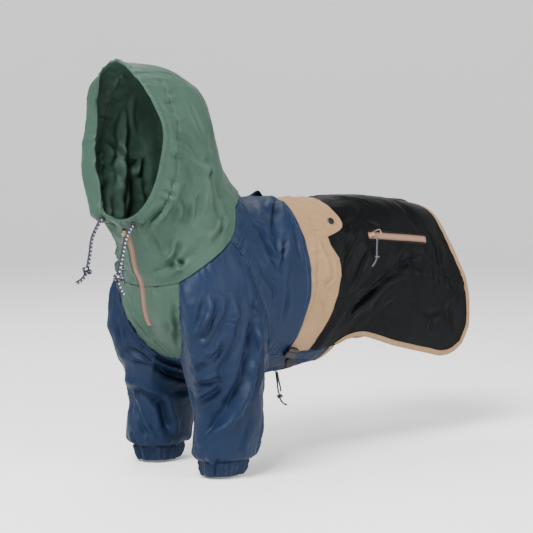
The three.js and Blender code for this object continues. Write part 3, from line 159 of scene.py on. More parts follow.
def centripetal(points, steps):
    """A centripetal Catmull-Rom curve through points, with steps to each span."""
    pts = np.asarray(points, float)
    ends = np.vstack([2 * pts[0] - pts[1], pts, 2 * pts[-1] - pts[-2]])
    t = np.linspace(0, 1, steps, endpoint=False)[:, None]
    fine = []
    for x0, x1, x2, x3 in zip(ends[:-3], ends[1:-2], ends[2:-1], ends[3:]):
        d0, d1, d2 = (math.sqrt(np.linalg.norm(b - a)) for a, b in ((x0, x1), (x1, x2), (x2, x3)))
        t1 = ((x1 - x0) / d0 - (x2 - x0) / (d0 + d1) + (x2 - x1) / d1) * d1
        t2 = ((x2 - x1) / d1 - (x3 - x1) / (d1 + d2) + (x3 - x2) / d2) * d1
        bend, twist = -3 * x1 + 3 * x2 - 2 * t1 - t2, 2 * x1 - 2 * x2 + t1 + t2
        fine.append(x1 + t1 * t + bend * t**2 + twist * t**3)
    return np.vstack([*fine, pts[-1:]])


def round_of(v):
    v = np.abs(v)
    return np.where(v > 1, 2 - v, v)


def face_u(v):
    """How far back the face edge of the hood is cut, in u."""
    return 0.36 * bell(round_of(v) - 0.42, 0.13)


def body(u, v):
    u, v = np.broadcast_arrays(np.asarray(u, float), np.asarray(v, float))
    v = np.where(v > 1, v - 2, np.where(v < -1, v + 2, v))
    y_top, z_top, y_low, z_low, half, upper, lower, bow, upper_right = np.moveaxis(running(RINGS, u), -1, 0)
    cos, sin = np.cos(np.pi * v), np.abs(np.sin(np.pi * v))
    power = np.where(cos < 0, lower, np.where(v < 0, upper_right, upper))
    radius = (np.abs(cos) ** power + sin ** power) ** (-1 / power)
    down = (1 - cos * radius) / 2
    forward = bow * sin / np.hypot(y_low - y_top, z_low - z_top)
    p = together(
        np.sign(v) * half * sin * radius,
        y_top + (y_low - y_top) * down + forward * (z_low - z_top),
        z_top + (z_low - z_top) * down - forward * (y_low - y_top),
    )
    rolled = (v < 0) * smooth(-v, 0.14, 0.3) * (1 - smooth(-v, 0.72, 0.9))
    inward, ahead = np.moveaxis(running(ROLL, (u - face_u(v)) / ROLL_STEP) * rolled[..., None], -1, 0)
    middle = together(-p[..., 0], 0 * ahead, (z_top + z_low) / 2 - p[..., 2])
    middle /= np.maximum(np.linalg.norm(middle, axis=-1, keepdims=True), 1e-9)
    return p + middle * inward[..., None] - together(0 * ahead, ahead, 0 * ahead)


def unit(a):
    return a / np.maximum(np.linalg.norm(a, axis=-1, keepdims=True), 1e-9)


def tangents(u, v):
    """The body surface's directions along u and v, per unit, and its outward normal."""
    e = 1e-3
    along = (body(u + e, v) - body(u - e, v)) / (2 * e)
    around = (body(u, v + e) - body(u, v - e)) / (2 * e)
    return along, around, unit(np.cross(around, along))


def surface(uv):
    """Points of the body surface at rows of (u, v), and its outward normals."""
    u, v = uv[..., 0], uv[..., 1]
    return body(u, v), tangents(u, v)[2]


def step_u(u, v, mm):
    return mm / np.linalg.norm(tangents(u, v)[0], axis=-1)


def step_v(u, v, mm):
    return mm / np.linalg.norm(tangents(u, v)[1], axis=-1)


# ---- Noise, the same each time ----
LATTICE = np.random.RandomState(11).uniform(-1, 1, (32, 32, 32))


def noise(p):
    cell = np.floor(p).astype(int)
    f = p - cell
    f = f * f * f * (f * (f * 6 - 15) + 10)
    total = 0
    for corner in np.ndindex(2, 2, 2):
        weight = np.prod(np.where(np.array(corner) == 1, f, 1 - f), axis=-1)
        x, y, z = np.moveaxis((cell + corner) % 32, -1, 0)
        total = total + weight * LATTICE[x, y, z]
    return total


# ---- Folds ----
# Soft folds shared with the CAD model: outward depth, half breadth, route as (u, v), on both sides.
FOLDS = [
    (-6, 11, [(8.9, 0.08), (8.14, 0.26), (8.44, 0.35), (8.7, 0.42)]),
    (4, 10, [(9.3, 0.12), (9.0, 0.28), (9.1, 0.4)]),
    (-4, 12, [(6.3, 0.3), (7.5, 0.35), (8.3, 0.4)]),
    (-7, 13, [(2.24, 0.475), (2.7, 0.51), (3.24, 0.52), (3.9, 0.6), (4.5, 0.68)]),
    (-5, 11, [(3.5, 0.33), (4.46, 0.355), (5.1, 0.41)]),
    (-5, 10, [(2.9, 0.67), (3.64, 0.725), (4.54, 0.82)]),
    (4, 12, [(3.3, 0.43), (4.3, 0.48), (5.2, 0.55)]),
    (-4, 9, [(5.2, 0.63), (5.56, 0.69), (5.46, 0.75)]),
    (-5, 9, [(6.4, 0.81), (7.04, 0.83), (7.5, 0.88)]),
    (3, 12, [(6.6, 0.88), (7.2, 0.91)]),
    (-5, 12, [(13.28, 0.345), (12.62, 0.465), (12.1, 0.58), (11.9, 0.63)]),
    (-4, 10, [(13.76, 0.345), (13.02, 0.44), (12.4, 0.56)]),
    (9, 20, [(-0.2, 0.83), (0.5, 0.81), (1.1, 0.79)]),
    (4, 12, [(13.1, 0.4), (12.3, 0.54), (11.9, 0.62)]),
    (-4, 10, [(13.5, 0.12), (13.6, 0.235), (13.8, 0.31)]),
    (-4, 9, [(13.9, 0.35), (14.5, 0.42), (15.0, 0.5)]),
]
# Sharper creases that only the cloth shows: depth of the trough, half breadth, lean of its shoulders to
# one side, sides it is on, route.
CREASES = [
    # hood
    (3.6, 6.0, 0.6, "both", [(1.7, 0.442), (2.28, 0.442), (3.0, 0.46), (3.6, 0.415)]),
    (2.8, 5.0, -0.4, "both", [(1.86, 0.462), (2.46, 0.477), (2.88, 0.49)]),
    (3.2, 5.0, 0.5, "both", [(3.58, 0.412), (3.84, 0.415), (3.86, 0.457)]),
    (4.2, 8.0, 0.3, "both", [(2.82, 0.567), (3.1, 0.61), (3.74, 0.625), (4.0, 0.665)]),
    (2.8, 6.0, -0.5, "both", [(3.56, 0.427), (4.18, 0.44), (4.96, 0.445), (5.36, 0.46)]),
    (3.2, 5.0, 0.5, "both", [(5.04, 0.922), (5.08, 0.8), (5.1, 0.765), (5.24, 0.73), (5.3, 0.672)]),
    (3.0, 5.0, -0.5, "left", [(5.02, 0.795), (4.76, 0.732), (4.3, 0.697)]),
    (3.0, 4.0, 0.4, "left", [(4.94, 0.74), (5.2, 0.73), (5.54, 0.725)]),
    (2.0, 4.0, 0.4, "both", [(0.88, 0.825), (1.18, 0.752), (1.82, 0.69)]),
    (2.2, 4.0, 0.5, "left", [(3.34, 0.262), (3.62, 0.31)]),
    (2.2, 6.0, -0.4, "both", [(2.64, 0.745), (2.8, 0.682), (2.68, 0.625)]),
    (2.4, 5.0, 0.5, "both", [(4.48, 0.6), (4.08, 0.55), (3.84, 0.51)]),
    (2.4, 5.0, -0.4, "left", [(5.62, 0.572), (5.48, 0.497), (5.32, 0.43)]),
    (1.6, 4.0, 0.5, "both", [(2.28, 0.245), (2.58, 0.332), (2.98, 0.375)]),
    (2.0, 4.5, 0.4, "right", [(4.9, 0.52), (5.2, 0.6), (5.3, 0.7)]),
    (2.2, 4.0, -0.5, "right", [(4.4, 0.72), (4.9, 0.77), (5.4, 0.79)]),
    (3.4, 6.0, 0.6, "right", [(2.36, 0.325), (2.64, 0.418), (3.1, 0.53), (3.62, 0.603)]),
    (1.8, 4.5, 0.4, "both", [(1.94, 0.825), (3.0, 0.825), (4.02, 0.82), (5.38, 0.84)]),
    # bib
    (2.6, 4.5, 0.5, "both", [(6.5, 0.795), (6.9, 0.815), (7.16, 0.83), (7.62, 0.88)]),
    (2.2, 4.0, 0.5, "right", [(6.5, 0.88), (7.08, 0.93), (7.36, 0.965)]),
    (2.2, 3.5, -0.5, "left", [(7.36, 1.03), (7.58, 1.0), (7.78, 0.98)]),
    (1.8, 4.0, 0.4, "right", [(6.78, 0.883), (7.2, 0.94), (7.46, 0.955)]),
    # back
    (2.4, 3.6, 0.5, "both", [(5.66, 0.265), (6.5, 0.277), (7.9, 0.32), (8.12, 0.35)]),
    (3.6, 6.0, 0.5, "both", [(9.4, 0.06), (8.9, 0.11), (8.38, 0.17), (8.02, 0.307)]),
    (3.6, 6.0, -0.5, "both", [(6.62, 0.305), (7.6, 0.36), (8.8, 0.437)]),
    (3.0, 5.0, 0.5, "both", [(8.96, 0.302), (8.8, 0.37), (8.86, 0.437)]),
    (2.2, 4.0, -0.4, "both", [(7.78, 0.452), (8.72, 0.51), (8.86, 0.542)]),
    (1.6, 4.0, 0.4, "left", [(9.24, 0.452), (9.36, 0.53), (9.44, 0.615)]),
    (1.6, 4.0, 0.4, "right", [(9.0, 0.42), (9.5, 0.5), (9.6, 0.62)]),
    (1.8, 4.0, -0.5, "left", [(9.2, 0.2), (9.5, 0.3), (9.7, 0.4)]),
    # waist
    (2.4, 4.0, 0.5, "both", [(10.68, 0.332), (10.9, 0.387), (11.06, 0.455)]),
    (1.8, 3.0, -0.5, "both", [(11.1, 0.47), (10.93, 0.48), (10.76, 0.495)]),
    (1.2, 3.0, 0.5, "left", [(11.16, 0.22), (10.88, 0.15), (10.6, 0.072)]),
    (1.2, 3.0, 0.5, "right", [(11.1, 0.2), (10.8, 0.1), (10.6, 0.02)]),
    (1.8, 3.5, 0.5, "both", [(10.66, 0.54), (10.86, 0.585), (10.8, 0.65)]),
    (1.4, 3.0, -0.5, "left", [(10.0, 0.42), (10.2, 0.46), (10.3, 0.53)]),
    # rump
    (3.2, 5.5, 0.6, "both", [(13.4, 0.34), (13.04, 0.395), (12.44, 0.495), (11.9, 0.6), (11.5, 0.66)]),
    (3.0, 5.5, -0.5, "both", [(13.84, 0.33), (13.34, 0.385), (12.72, 0.462), (12.06, 0.572), (11.6, 0.645)]),
    (2.6, 5.0, 0.5, "both", [(12.12, 0.322), (11.86, 0.367), (11.6, 0.42), (11.5, 0.467)]),
    (3.0, 5.0, -0.5, "both", [(12.5, 0.332), (12.16, 0.412), (11.9, 0.492), (11.62, 0.537)]),
    (2.2, 4.0, 0.5, "left", [(13.32, 0.512), (13.62, 0.55), (13.88, 0.557), (14.24, 0.54)]),
    (2.2, 4.5, 0.5, "both", [(13.32, 0.157), (13.34, 0.2), (13.5, 0.24), (13.64, 0.275)]),
    (2.4, 4.5, -0.5, "both", [(13.92, 0.275), (14.06, 0.307), (14.18, 0.352), (14.18, 0.4)]),
    (1.8, 4.0, 0.4, "left", [(13.88, 0.562), (13.86, 0.602)]),
    (1.8, 4.0, 0.4, "both", [(12.4, 0.212), (11.94, 0.27), (11.7, 0.3)]),
    (1.6, 3.5, -0.4, "left", [(12.38, 0.27), (12.62, 0.297)]),
    (2.2, 5.0, 0.5, "left", [(14.7, 0.5), (14.5, 0.54), (14.6, 0.6)]),
    (2.0, 5.0, 0.4, "left", [(12.9, 0.53), (12.6, 0.58), (12.7, 0.63)]),
    (2.0, 4.5, 0.4, "right", [(12.6, 0.52), (13.3, 0.6), (14.0, 0.63)]),
    (1.6, 4.0, 0.4, "both", [(12.1, 0.08), (12.5, 0.13), (12.7, 0.2)]),
    (1.8, 4.0, -0.4, "right", [(13.2, 0.47), (13.9, 0.52), (14.7, 0.56)]),
    # belly
    (1.6, 5.0, 0.4, "both", [(8.6, 0.95), (9.6, 0.9), (10.4, 0.86)]),
    (1.4, 5.0, -0.4, "left", [(9.4, 0.97), (10.2, 0.93), (11.2, 0.9)]),
    (1.8, 4.0, 0.5, "both", [(10.3, 0.8), (10.8, 0.83), (11.4, 0.86)]),
]


def nearest_on(route, p):
    """Distance from points to a polyline, share of its spans, nearest place and the way of its span."""
    best = np.full(p.shape[:-1], np.inf)
    share, place, span_way = np.zeros(best.shape), np.zeros(p.shape), np.zeros(p.shape)
    for k, (start, end) in enumerate(zip(route[:-1], route[1:])):
        span = end - start
        t = np.clip((p - start) @ span / (span @ span), 0, 1)
        at = start + t[..., None] * span
        distance = np.linalg.norm(p - at, axis=-1)
        closer = distance < best
        best = np.where(closer, distance, best)
        share = np.where(closer, (k + t) / (len(route) - 1), share)
        place[closer], span_way[closer] = at[closer], span
    return best, share, place, span_way


def fold_height(p, folds):
    total = np.zeros(p.shape[:-1])
    for depth, width, route in folds:
        distance, share = nearest_on(route, p)[:2]
        taper = np.sin(np.pi * np.clip(share, 0.02, 0.98)) ** 0.6
        total += depth * taper * bell(distance, width)
    return total


def crease_height(p, n, creases):
    """Troughs with a soft shoulder on each side, higher on the side that each leans to."""
    total = np.zeros(p.shape[:-1])
    for depth, width, lean, route in creases:
        low, high = route.min(0) - 5 * width, route.max(0) + 5 * width
        near = np.all((p > low) & (p < high), axis=-1)
        if not near.any():
            continue
        q, m = p[near], n[near]
        distance, share, place, way = nearest_on(route, q)
        side = np.sign(np.einsum("ij,ij->i", np.cross(way, m), q - place))
        uneven = 0.8 + 0.35 * noise(place / 23.0) + 0.2 * noise(place / 9.0)
        breadth = width * (0.85 + 0.3 * noise(place / 17.0 + 5))
        taper = np.sin(np.pi * np.clip(share, 0.03, 0.97)) ** 0.7 * uneven
        x = distance / breadth
        trough = -np.exp(-np.abs(x) ** 1.6)
        shoulder = 0.55 * (1 + lean * side) * bell(x - 1.9, 0.95)
        total[near] += depth * taper * (trough + shoulder)
    return total


def refined(route, count=14):
    """A route of few points as a smooth one of count."""
    route = np.asarray(route, float)
    return running(route, np.linspace(0, len(route) - 1, count))


def on_body(route, side, count=14):
    uv = refined(route, count)
    return body(uv[:, 0], side * uv[:, 1])


BODY_FOLDS = [(d, w, np.array([body(u, s * v) for u, v in r])) for s in (1, -1) for d, w, r in FOLDS]
SIDES = {"both": (1, -1), "left": (1,), "right": (-1,)}
CREASE_GAIN = 1.8225  # the creases' depths were first set shallow, and deepened together
BODY_CREASES = [
    (CREASE_GAIN * d, w, lean * s, on_body(r, s)) for d, w, lean, which, r in CREASES for s in SIDES[which]
]
CRUMPLE = ((1, 1.3), (2.3, 0.6), (4.7, 0.22))  # how fine, and how strong


def crumple(p, size, amount):
    """The slight crinkle of coated nylon: soft ridges in places, flat in others."""
    warp = np.stack([noise(p / size + k) for k in (3.1, 9.7, 17.3)], -1)
    q = p / size + 0.5 * warp
    ridges = sum(share * (0.3 - np.hypot(noise(scale * q + 4 * scale), 0.06)) for scale, share in CRUMPLE)
    patchy = 0.75 + 0.5 * noise(p / (2.6 * size) + 21)
    return amount * (ridges * patchy + 0.6 * noise(0.6 * q + 13))


# Lines stitched through one panel that gather it: depth, breadth, pucker height, its reach, its pitch.
CHANNELS = {
    "hood": [
        ("both", 2.03, 1.7, 3.335, 11, 5.5, [
            (1.4, 0.15), (1.4, 0.262), (1.54, 0.325), (1.64, 0.392), (1.66, 0.437), (1.6, 0.47),
            (1.7, 0.51), (1.88, 0.555), (1.86, 0.605), (1.76, 0.66), (1.4, 0.722), (1.02, 0.797),
            (0.82, 0.867), (0.8, 0.93),
        ]),
    ],
    "waist": [
        ("both", 1.3, 1.7, 1.9, 11, 5, [
            (10.66, 0.0), (10.66, 0.08), (10.66, 0.145), (10.6, 0.237), (10.56, 0.297), (10.48, 0.42),
            (10.44, 0.505), (10.36, 0.59), (10.2, 0.66), (10.2, 0.76),
        ]),
    ],
    "rump": [
        ("both", 1.885, 1.6, 3.48, 10, 5.5, [
            (12.96, 0.412), (13.34, 0.4), (13.74, 0.415), (14.14, 0.412), (14.74, 0.425), (15.12, 0.428),
        ]),
        ("both", 1.74, 1.6, 2.03, 8, 5.5, [
            (12.96, 0.432), (13.48, 0.43), (14.1, 0.43), (14.72, 0.445), (15.2, 0.45),
        ]),
    ],
}


def channel_height(p, channels):
    total = np.zeros(p.shape[:-1])
    for which, depth, breadth, pucker, reach, pitch, route in channels:
        for side in SIDES[which]:
            distance, share, place = nearest_on(on_body(route, side, 6 * len(route)), p)[:3]
            ends = smooth(share, 0, 0.02) * smooth(1 - share, 0, 0.02)
            wave = noise(place / pitch) + 0.6 * noise(place / (0.45 * pitch) + 7)
            gather = pucker * wave * bell(distance, reach, 1.3)
            total += ends * (-depth * bell(distance, breadth) + gather)
    return total


# ---- Panel edges on the body surface, from the spine down the left side, as (u, v) ----
NECK_EDGE = [(5.85, 0), (5.62, 0.15), (5.52, 0.33), (5.93, 0.475), (6.02, 0.55), (6.0, 0.68), (6.05, 0.767),
             (6.03, 0.85), (6.1, 1)]
RAGLAN = [(5.96, 0.49), (6.64, 0.48), (7.48, 0.495), (8.16, 0.53), (8.54, 0.57), (8.88, 0.615), (9.28, 0.69),
          (9.62, 0.765)]
SIDE_SEAM = [(9.62, 0.765), (10.12, 0.762), (10.88, 0.775), (11.68, 0.768)]
BIB_EDGE = [(6.06, 0.767), (6.5, 0.775), (6.94, 0.795), (7.44, 0.83), (7.9, 0.91)]
CHEST_SEAM = [(7.9, 0.91), (8.0, 0.95), (8.03, 1)]
UNDERARM = [(7.9, 0.91), (8.4, 0.885), (9.0, 0.845), (9.62, 0.765)]
BACK_HEM = [(9.6, 0), (9.62, 0.07), (9.76, 0.16), (9.9, 0.255), (10.06, 0.36), (10.22, 0.47), (10.26, 0.525),
            (10.22, 0.605), (10.2, 0.685), (10.12, 0.762)]
TAN_HEM = [(11.46, 0), (11.5, 0.085), (11.54, 0.18), (11.66, 0.24), (11.66, 0.265), (11.58, 0.287),
           (11.45, 0.298), (11.25, 0.306), (10.96, 0.315), (11.02, 0.35), (11.28, 0.405), (11.34, 0.47),
           (11.3, 0.54), (11.14, 0.61), (10.96, 0.69), (10.9, 0.77)]
RUMP_SEAM = [(10.65, 0.77), (11.15, 0.774), (11.68, 0.768)]
RUMP_SIDE = [(11.68, 0.768), (11.86, 0.735), (12.16, 0.7), (12.48, 0.68), (13.06, 0.665), (13.74, 0.67),
             (14.22, 0.675), (14.62, 0.665), (15.0, 0.64)]
RUMP_REAR = [(14.33, 0), (14.4, 0.09), (14.5, 0.18), (14.52, 0.23), (14.6, 0.29), (14.88, 0.36),
             (15.2, 0.425), (15.34, 0.495), (15.3, 0.58), (15.0, 0.64)]
BELLY_HEM = [(11.68, 0.768), (11.61, 0.82), (11.62, 1)]
CROWN_HALF = [0.135, 0.125, 0.11, 0.1, 0.09, 0.08, 0.07]
RISE = [(0, 11.72), (0.4, 11.72), (0.54, 11.42), (0.61, 11.24), (0.69, 10.99), (0.77, 10.92)]
ROUND = [0.012, 0.07, 0.135, 0.2, 0.26, 0.315, 0.375, 0.44, 0.52, 0.6, 0.68, 0.732, 0.762]
STEPS = {"crown": 11, "shoulder": 4, "throat": 5, "raglan": 10, "bib": 7, "chest": 5, "underarm": 6,
         "side": 2, "flank": 4, "rump": 9, "rump_seam": 2}
ZIP_FOOT = 7.1
FLAT = np.array([45.0, 280.0])  # millimetres to a step of u and of v, roughly


def edge(rows):
    """A smooth curve through (u, v) rows, read by share of its length."""
    fine = centripetal(np.asarray(rows, float) * FLAT, 40)
    run = run_of(fine)
    run /= run[-1]
    fine = fine / FLAT
    return lambda t: read_at(np.clip(t, 0, 1), run, fine)


def reading(rows, source=0):
    rows = np.asarray(rows, float)
    return lambda x: np.interp(x, rows[:, source], rows[:, 1 - source])


def chain(*parts):
    """Edges one after another, each (edge, steps), read at a number of steps from the start."""
    def read(step):
        step = np.asarray(step, float)
        out, start = None, 0
        for run, steps in parts:
            here = run((step - start) / steps)
            out = here if out is None else np.where((step > start)[..., None], here, out)
            start += steps
        return out
    return read


def backward(run):
    return lambda t: run(1 - np.asarray(t, float))


def flip_belly(uv):
    return uv * (1, -1) + (0, 2)


def mirrored(j, columns, uv):
    """(u, v) rows as they are up to the middle column, and mirrored in the belly line past it."""
    return np.where((j <= columns / 2)[:, None], uv, flip_belly(uv))


neck_at, back_hem_at, tan_hem_at = (reading(rows, 1) for rows in (NECK_EDGE, BACK_HEM, TAN_HEM))
seam_at, rise_at = reading(SIDE_SEAM), reading(RISE)
crown_at = reading([(k, half) for k, half in enumerate(CROWN_HALF)])
raglan, bib_edge, chest_seam, underarm = (edge(rows) for rows in (RAGLAN, BIB_EDGE, CHEST_SEAM, UNDERARM))
side_top, side_flank = edge(SIDE_SEAM[:2]), edge(SIDE_SEAM[1:])


def neck_u(v):
    return neck_at(round_of(v))


def patch(rows, columns, front, rear, first, last):
    """(u, v) over a grid of running rows and columns, between front and rear edges and two side edges."""
    end_i, end_j = rows[-1], columns[-1]
    a, b = (rows / end_i)[:, None, None], (columns / end_j)[None, :, None]
    f, r, one, two = front(columns)[None], rear(columns)[None], first(rows)[:, None], last(rows)[:, None]
    sides = (1 - b) * one + b * two
    ends = (1 - a) * f + a * r
    near = (1 - b) * f[:, :1] + b * f[:, -1:]
    far = (1 - b) * r[:, :1] + b * r[:, -1:]
    return sides + ends - (1 - a) * near - a * far


def patch_over_spine(rows, xs, front, rear, side):
    """A patch over running columns either side of the spine, its right side its left one mirrored."""
    return patch(rows, xs - xs[0], lambda j: front(j + xs[0]), lambda j: rear(j + xs[0]),
                 lambda i: side(i) * (1, -1), side)


def spaced(length, steps, first=True):
    """Running grid indices from 0 to steps over a length in mm, closer together at the seams."""
    close = np.array([0, 0.6, 1.2, 2.0, 3.0, 4.4])
    start = close if first else np.array([0.0])
    end = length - close[::-1]
    count = max(2, int(round((end[0] - start[-1]) / GRID)))
    middle = np.linspace(start[-1], end[0], count + 1)[1:-1]
    return np.concatenate([start, middle, end]) / length * steps


# ---- Meshes ----
def grid_faces(rows, columns, wrap=False, hole=None):
    i, j = np.meshgrid(np.arange(rows - 1), np.arange(columns if wrap else columns - 1), indexing="ij")
    keep = np.ones(i.shape, bool) if hole is None else ~hole[: i.shape[0], : i.shape[1]]
    i, j = i[keep], j[keep]
    k = (j + 1) % columns
    return together(i * columns + j, (i + 1) * columns + j, (i + 1) * columns + k, i * columns + k)


def make_mesh(name, points, faces, material, uv=None, body_name="jacket"):
    """A smooth mesh that rides on a body, from points in mm and faces as an array or, mixed, as a list."""
    mesh = bpy.data.meshes.new(name)
    mesh.vertices.add(len(points))
    mesh.vertices.foreach_set("co", np.ascontiguousarray(points * MM, np.float32).ravel())
    sizes, corners = np.array([len(f) for f in faces]), np.concatenate(faces)
    mesh.loops.add(len(corners))
    mesh.loops.foreach_set("vertex_index", corners.astype(np.int32))
    mesh.polygons.add(len(sizes))
    mesh.polygons.foreach_set("loop_start", np.concatenate([[0], np.cumsum(sizes)[:-1]]).astype(np.int32))
    mesh.polygons.foreach_set("use_smooth", np.ones(len(sizes), bool))
    if uv is not None:
        layer = mesh.uv_layers.new(name="cloth")
        layer.data.foreach_set("uv", np.ascontiguousarray(uv[corners], np.float32).ravel())
    mesh.update(calc_edges=True)
    mesh.validate()
    mesh.materials.append(material)
    piece = bpy.data.objects.new(name, mesh)
    bpy.context.collection.objects.link(piece)
    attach(piece, body_name)
    return piece


def stand_for(part):
    """The piece takes the place of the CAD model's part, which is hidden."""
    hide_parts(part)


def outward(points, normals, faces):
    a, b, c = (points[faces[:, k]] for k in (0, 1, 2))
    flip = (np.cross(b - a, c - a) * normals[faces[:, 0]]).sum() < 0
    return faces[:, ::-1] if flip else faces


def shell(name, points, normals, material, thickness=CLOTH, wrap=False, hole=None, uv=None):
    """A thin wall of cloth over a grid of outer points, with its rims closed."""
    rows, columns = points.shape[:2]
    p, n = points.reshape(-1, 3), normals.reshape(-1, 3)
    t = np.broadcast_to(np.asarray(thickness, float), (rows, columns)).reshape(-1, 1)
    faces = outward(p, n, grid_faces(rows, columns, wrap, hole))
    count = len(p)
    forward = together(faces, np.roll(faces, -1, axis=1)).reshape(-1, 2)
    key, back = forward[:, 0] * count + forward[:, 1], forward[:, 1] * count + forward[:, 0]
    rim = forward[~np.isin(key, back)]
    walls = together(rim[:, 1], rim[:, 0], rim[:, 0] + count, rim[:, 1] + count)
    every = np.vstack([faces, faces[:, ::-1] + count, walls])
    used, index = np.unique(every, return_inverse=True)
    all_points = np.vstack([p, p - n * t])[used]
    flat = None if uv is None else np.vstack([uv.reshape(-1, 2)] * 2)[used]
    return make_mesh(name, all_points, index.reshape(-1, 4), material, flat)


# ---- Materials ----
def new_material(name, finish):
    """A material, its node tree, its shader with the finish on its own sockets, and its coordinates."""
    material = bpy.data.materials.new(name)
    material.use_nodes = True
    tree = material.node_tree
    shader = next(n for n in tree.nodes if n.type == "BSDF_PRINCIPLED")
    for socket, value in finish.items():
        shader.inputs[socket].default_value = value
    return material, tree, shader, tree.nodes.new("ShaderNodeTexCoord").outputs


def node(tree, kind, inputs, **settings):
    """The outputs of a new node, its inputs linked or set."""
    made = tree.nodes.new(kind)
    for key, value in settings.items():
        setattr(made, key, value)
    for key, value in inputs.items():
        if isinstance(value, bpy.types.NodeSocket):
            tree.links.new(value, made.inputs[key])
        else:
            made.inputs[key].default_value = value
    return made.outputs


def mix_colour(tree, factor, *colours):
    first, second = (c if isinstance(c, bpy.types.NodeSocket) else (*c, 1) for c in colours)
    return node(tree, "ShaderNodeMix", {0: factor, 6: first, 7: second}, data_type="RGBA")[2]


def ramp_of(tree, value, low, high, to_low=0.0, to_high=1.0):
    return node(tree, "ShaderNodeMapRange", {
        "Value": value, "From Min": low, "From Max": high, "To Min": to_low, "To Max": to_high,
    })[0]


def speckle(tree, at, scale, detail, distortion=0.0, **settings):
    return node(tree, "ShaderNodeTexNoise", {
        "Vector": at["Object"], "Scale": scale, "Detail": detail, "Distortion": distortion,
    }, **settings)[0]


def ribbing(tree, at, scale, distortion, detail, way="X"):
    return node(tree, "ShaderNodeTexWave", {
        "Vector": at["UV"], "Scale": scale, "Distortion": distortion, "Detail": detail,
    }, bands_direction=way)["Fac"]


def maths(tree, operation, *values):
    return node(tree, "ShaderNodeMath", dict(enumerate(values)), operation=operation)[0]


def bump(tree, height, strength, distance, **under):
    return node(tree, "ShaderNodeBump", {
        "Height": height, "Strength": strength, "Distance": distance, **under,
    })[0]


def paler(colour, times, plus=0.0):
    return tuple(min(1.0, c * times + plus) for c in colour)


def nylon(name, colour, shade, roughness=0.5, sheen=0.02, specular=0.16):
    """Coated plain-weave nylon: a fine weave, slight crinkles, and a little worn paler in places."""
    material, tree, shader, at = new_material(name, {
        "Specular IOR Level": specular, "Sheen Weight": sheen, "Sheen Roughness": 0.45,
        "Sheen Tint": (*paler(colour, 1.6, 0.15), 1),
    })
    broad, fine = speckle(tree, at, 14.0, 3.0), speckle(tree, at, 420.0, 2.0)
    tint = mix_colour(tree, ramp_of(tree, broad, 0.3, 0.7), shade, colour)
    tint = mix_colour(tree, ramp_of(tree, fine, 0.42, 0.75, 0.0, 0.35), tint, paler(colour, 1.18, 0.004))
    tree.links.new(tint, shader.inputs["Base Color"])
    tree.links.new(ramp_of(tree, broad, 0.25, 0.75, roughness + 0.06, roughness - 0.05),
                   shader.inputs["Roughness"])
    weave = maths(tree, "MULTIPLY", *(ribbing(tree, at, 0.62, 0.3, 1.0, way) for way in "XY"))
    crinkle = speckle(tree, at, 42.0, 2.0, 0.9, noise_type="RIDGED_MULTIFRACTAL")
    woven = bump(tree, weave, 0.12, 0.0002)
    tree.links.new(bump(tree, crinkle, 0.4, 0.001, Normal=woven), shader.inputs["Normal"])
    return material


def tape(name, colour, ribs, roughness=0.5, sheen=0.03, specular=0.4):
    """Woven tape, webbing or thread: ribs across it by its UV, and slight variation."""
    material, tree, shader, at = new_material(name, {
        "Roughness": roughness, "Specular IOR Level": specular, "Sheen Weight": sheen,
    })
    wave, fine = ribbing(tree, at, ribs, 0.6, 2.0), speckle(tree, at, 160.0, 2.0)
    tint = mix_colour(tree, ramp_of(tree, wave, 0.0, 1.0, 0.45, 1.0), paler(colour, 0.72), colour)
    tint = mix_colour(tree, ramp_of(tree, fine, 0.45, 0.7, 0.0, 0.5), tint, paler(colour, 1.2, 0.004))
    tree.links.new(tint, shader.inputs["Base Color"])
    tree.links.new(bump(tree, wave, 0.35, 0.0004), shader.inputs["Normal"])
    return material


def braid(name, dark, light, turns, pitch, share=0.3):
    """Braided cord by its UV: u runs along it in mm, v once round. Pale flecks lie in crossing spirals."""
    material, tree, shader, at = new_material(name, {"Roughness": 0.75, "Sheen Weight": 0.04})
    split = node(tree, "ShaderNodeSeparateXYZ", {"Vector": at["UV"]})
    along = maths(tree, "MULTIPLY", split[0], 1 / pitch)
    around = maths(tree, "MULTIPLY", split[1], float(turns))
    strands = (
        maths(tree, "SINE", maths(tree, "MULTIPLY", maths(tree, way, along, around), 2 * math.pi))
        for way in ("ADD", "SUBTRACT")
    )
    fleck = ramp_of(tree, maths(tree, "MULTIPLY", *strands), share, share + 0.14)
    tree.links.new(mix_colour(tree, fleck, dark, light), shader.inputs["Base Color"])
    tree.links.new(bump(tree, speckle(tree, at, 2500.0, 1.0), 0.4, 0.0002), shader.inputs["Normal"])
    return material


def moulded(name, colour, roughness, metallic=0.0):
    """Moulded plastic or plated metal: a fine grain, and worn paler and duller in places."""
    material, tree, shader, at = new_material(name, {"Metallic": metallic, "Specular IOR Level": 0.3})
    grain, wear = speckle(tree, at, 900.0, 2.0), speckle(tree, at, 120.0, 3.0)
    tint = mix_colour(tree, ramp_of(tree, wear, 0.5, 0.75, 0.0, 0.6), colour, paler(colour, 1.35, 0.002))
    tree.links.new(tint, shader.inputs["Base Color"])
    tree.links.new(ramp_of(tree, wear, 0.3, 0.7, roughness - 0.08, roughness + 0.08),
                   shader.inputs["Roughness"])
    tree.links.new(bump(tree, grain, 0.15, 0.0001), shader.inputs["Normal"])
    return material


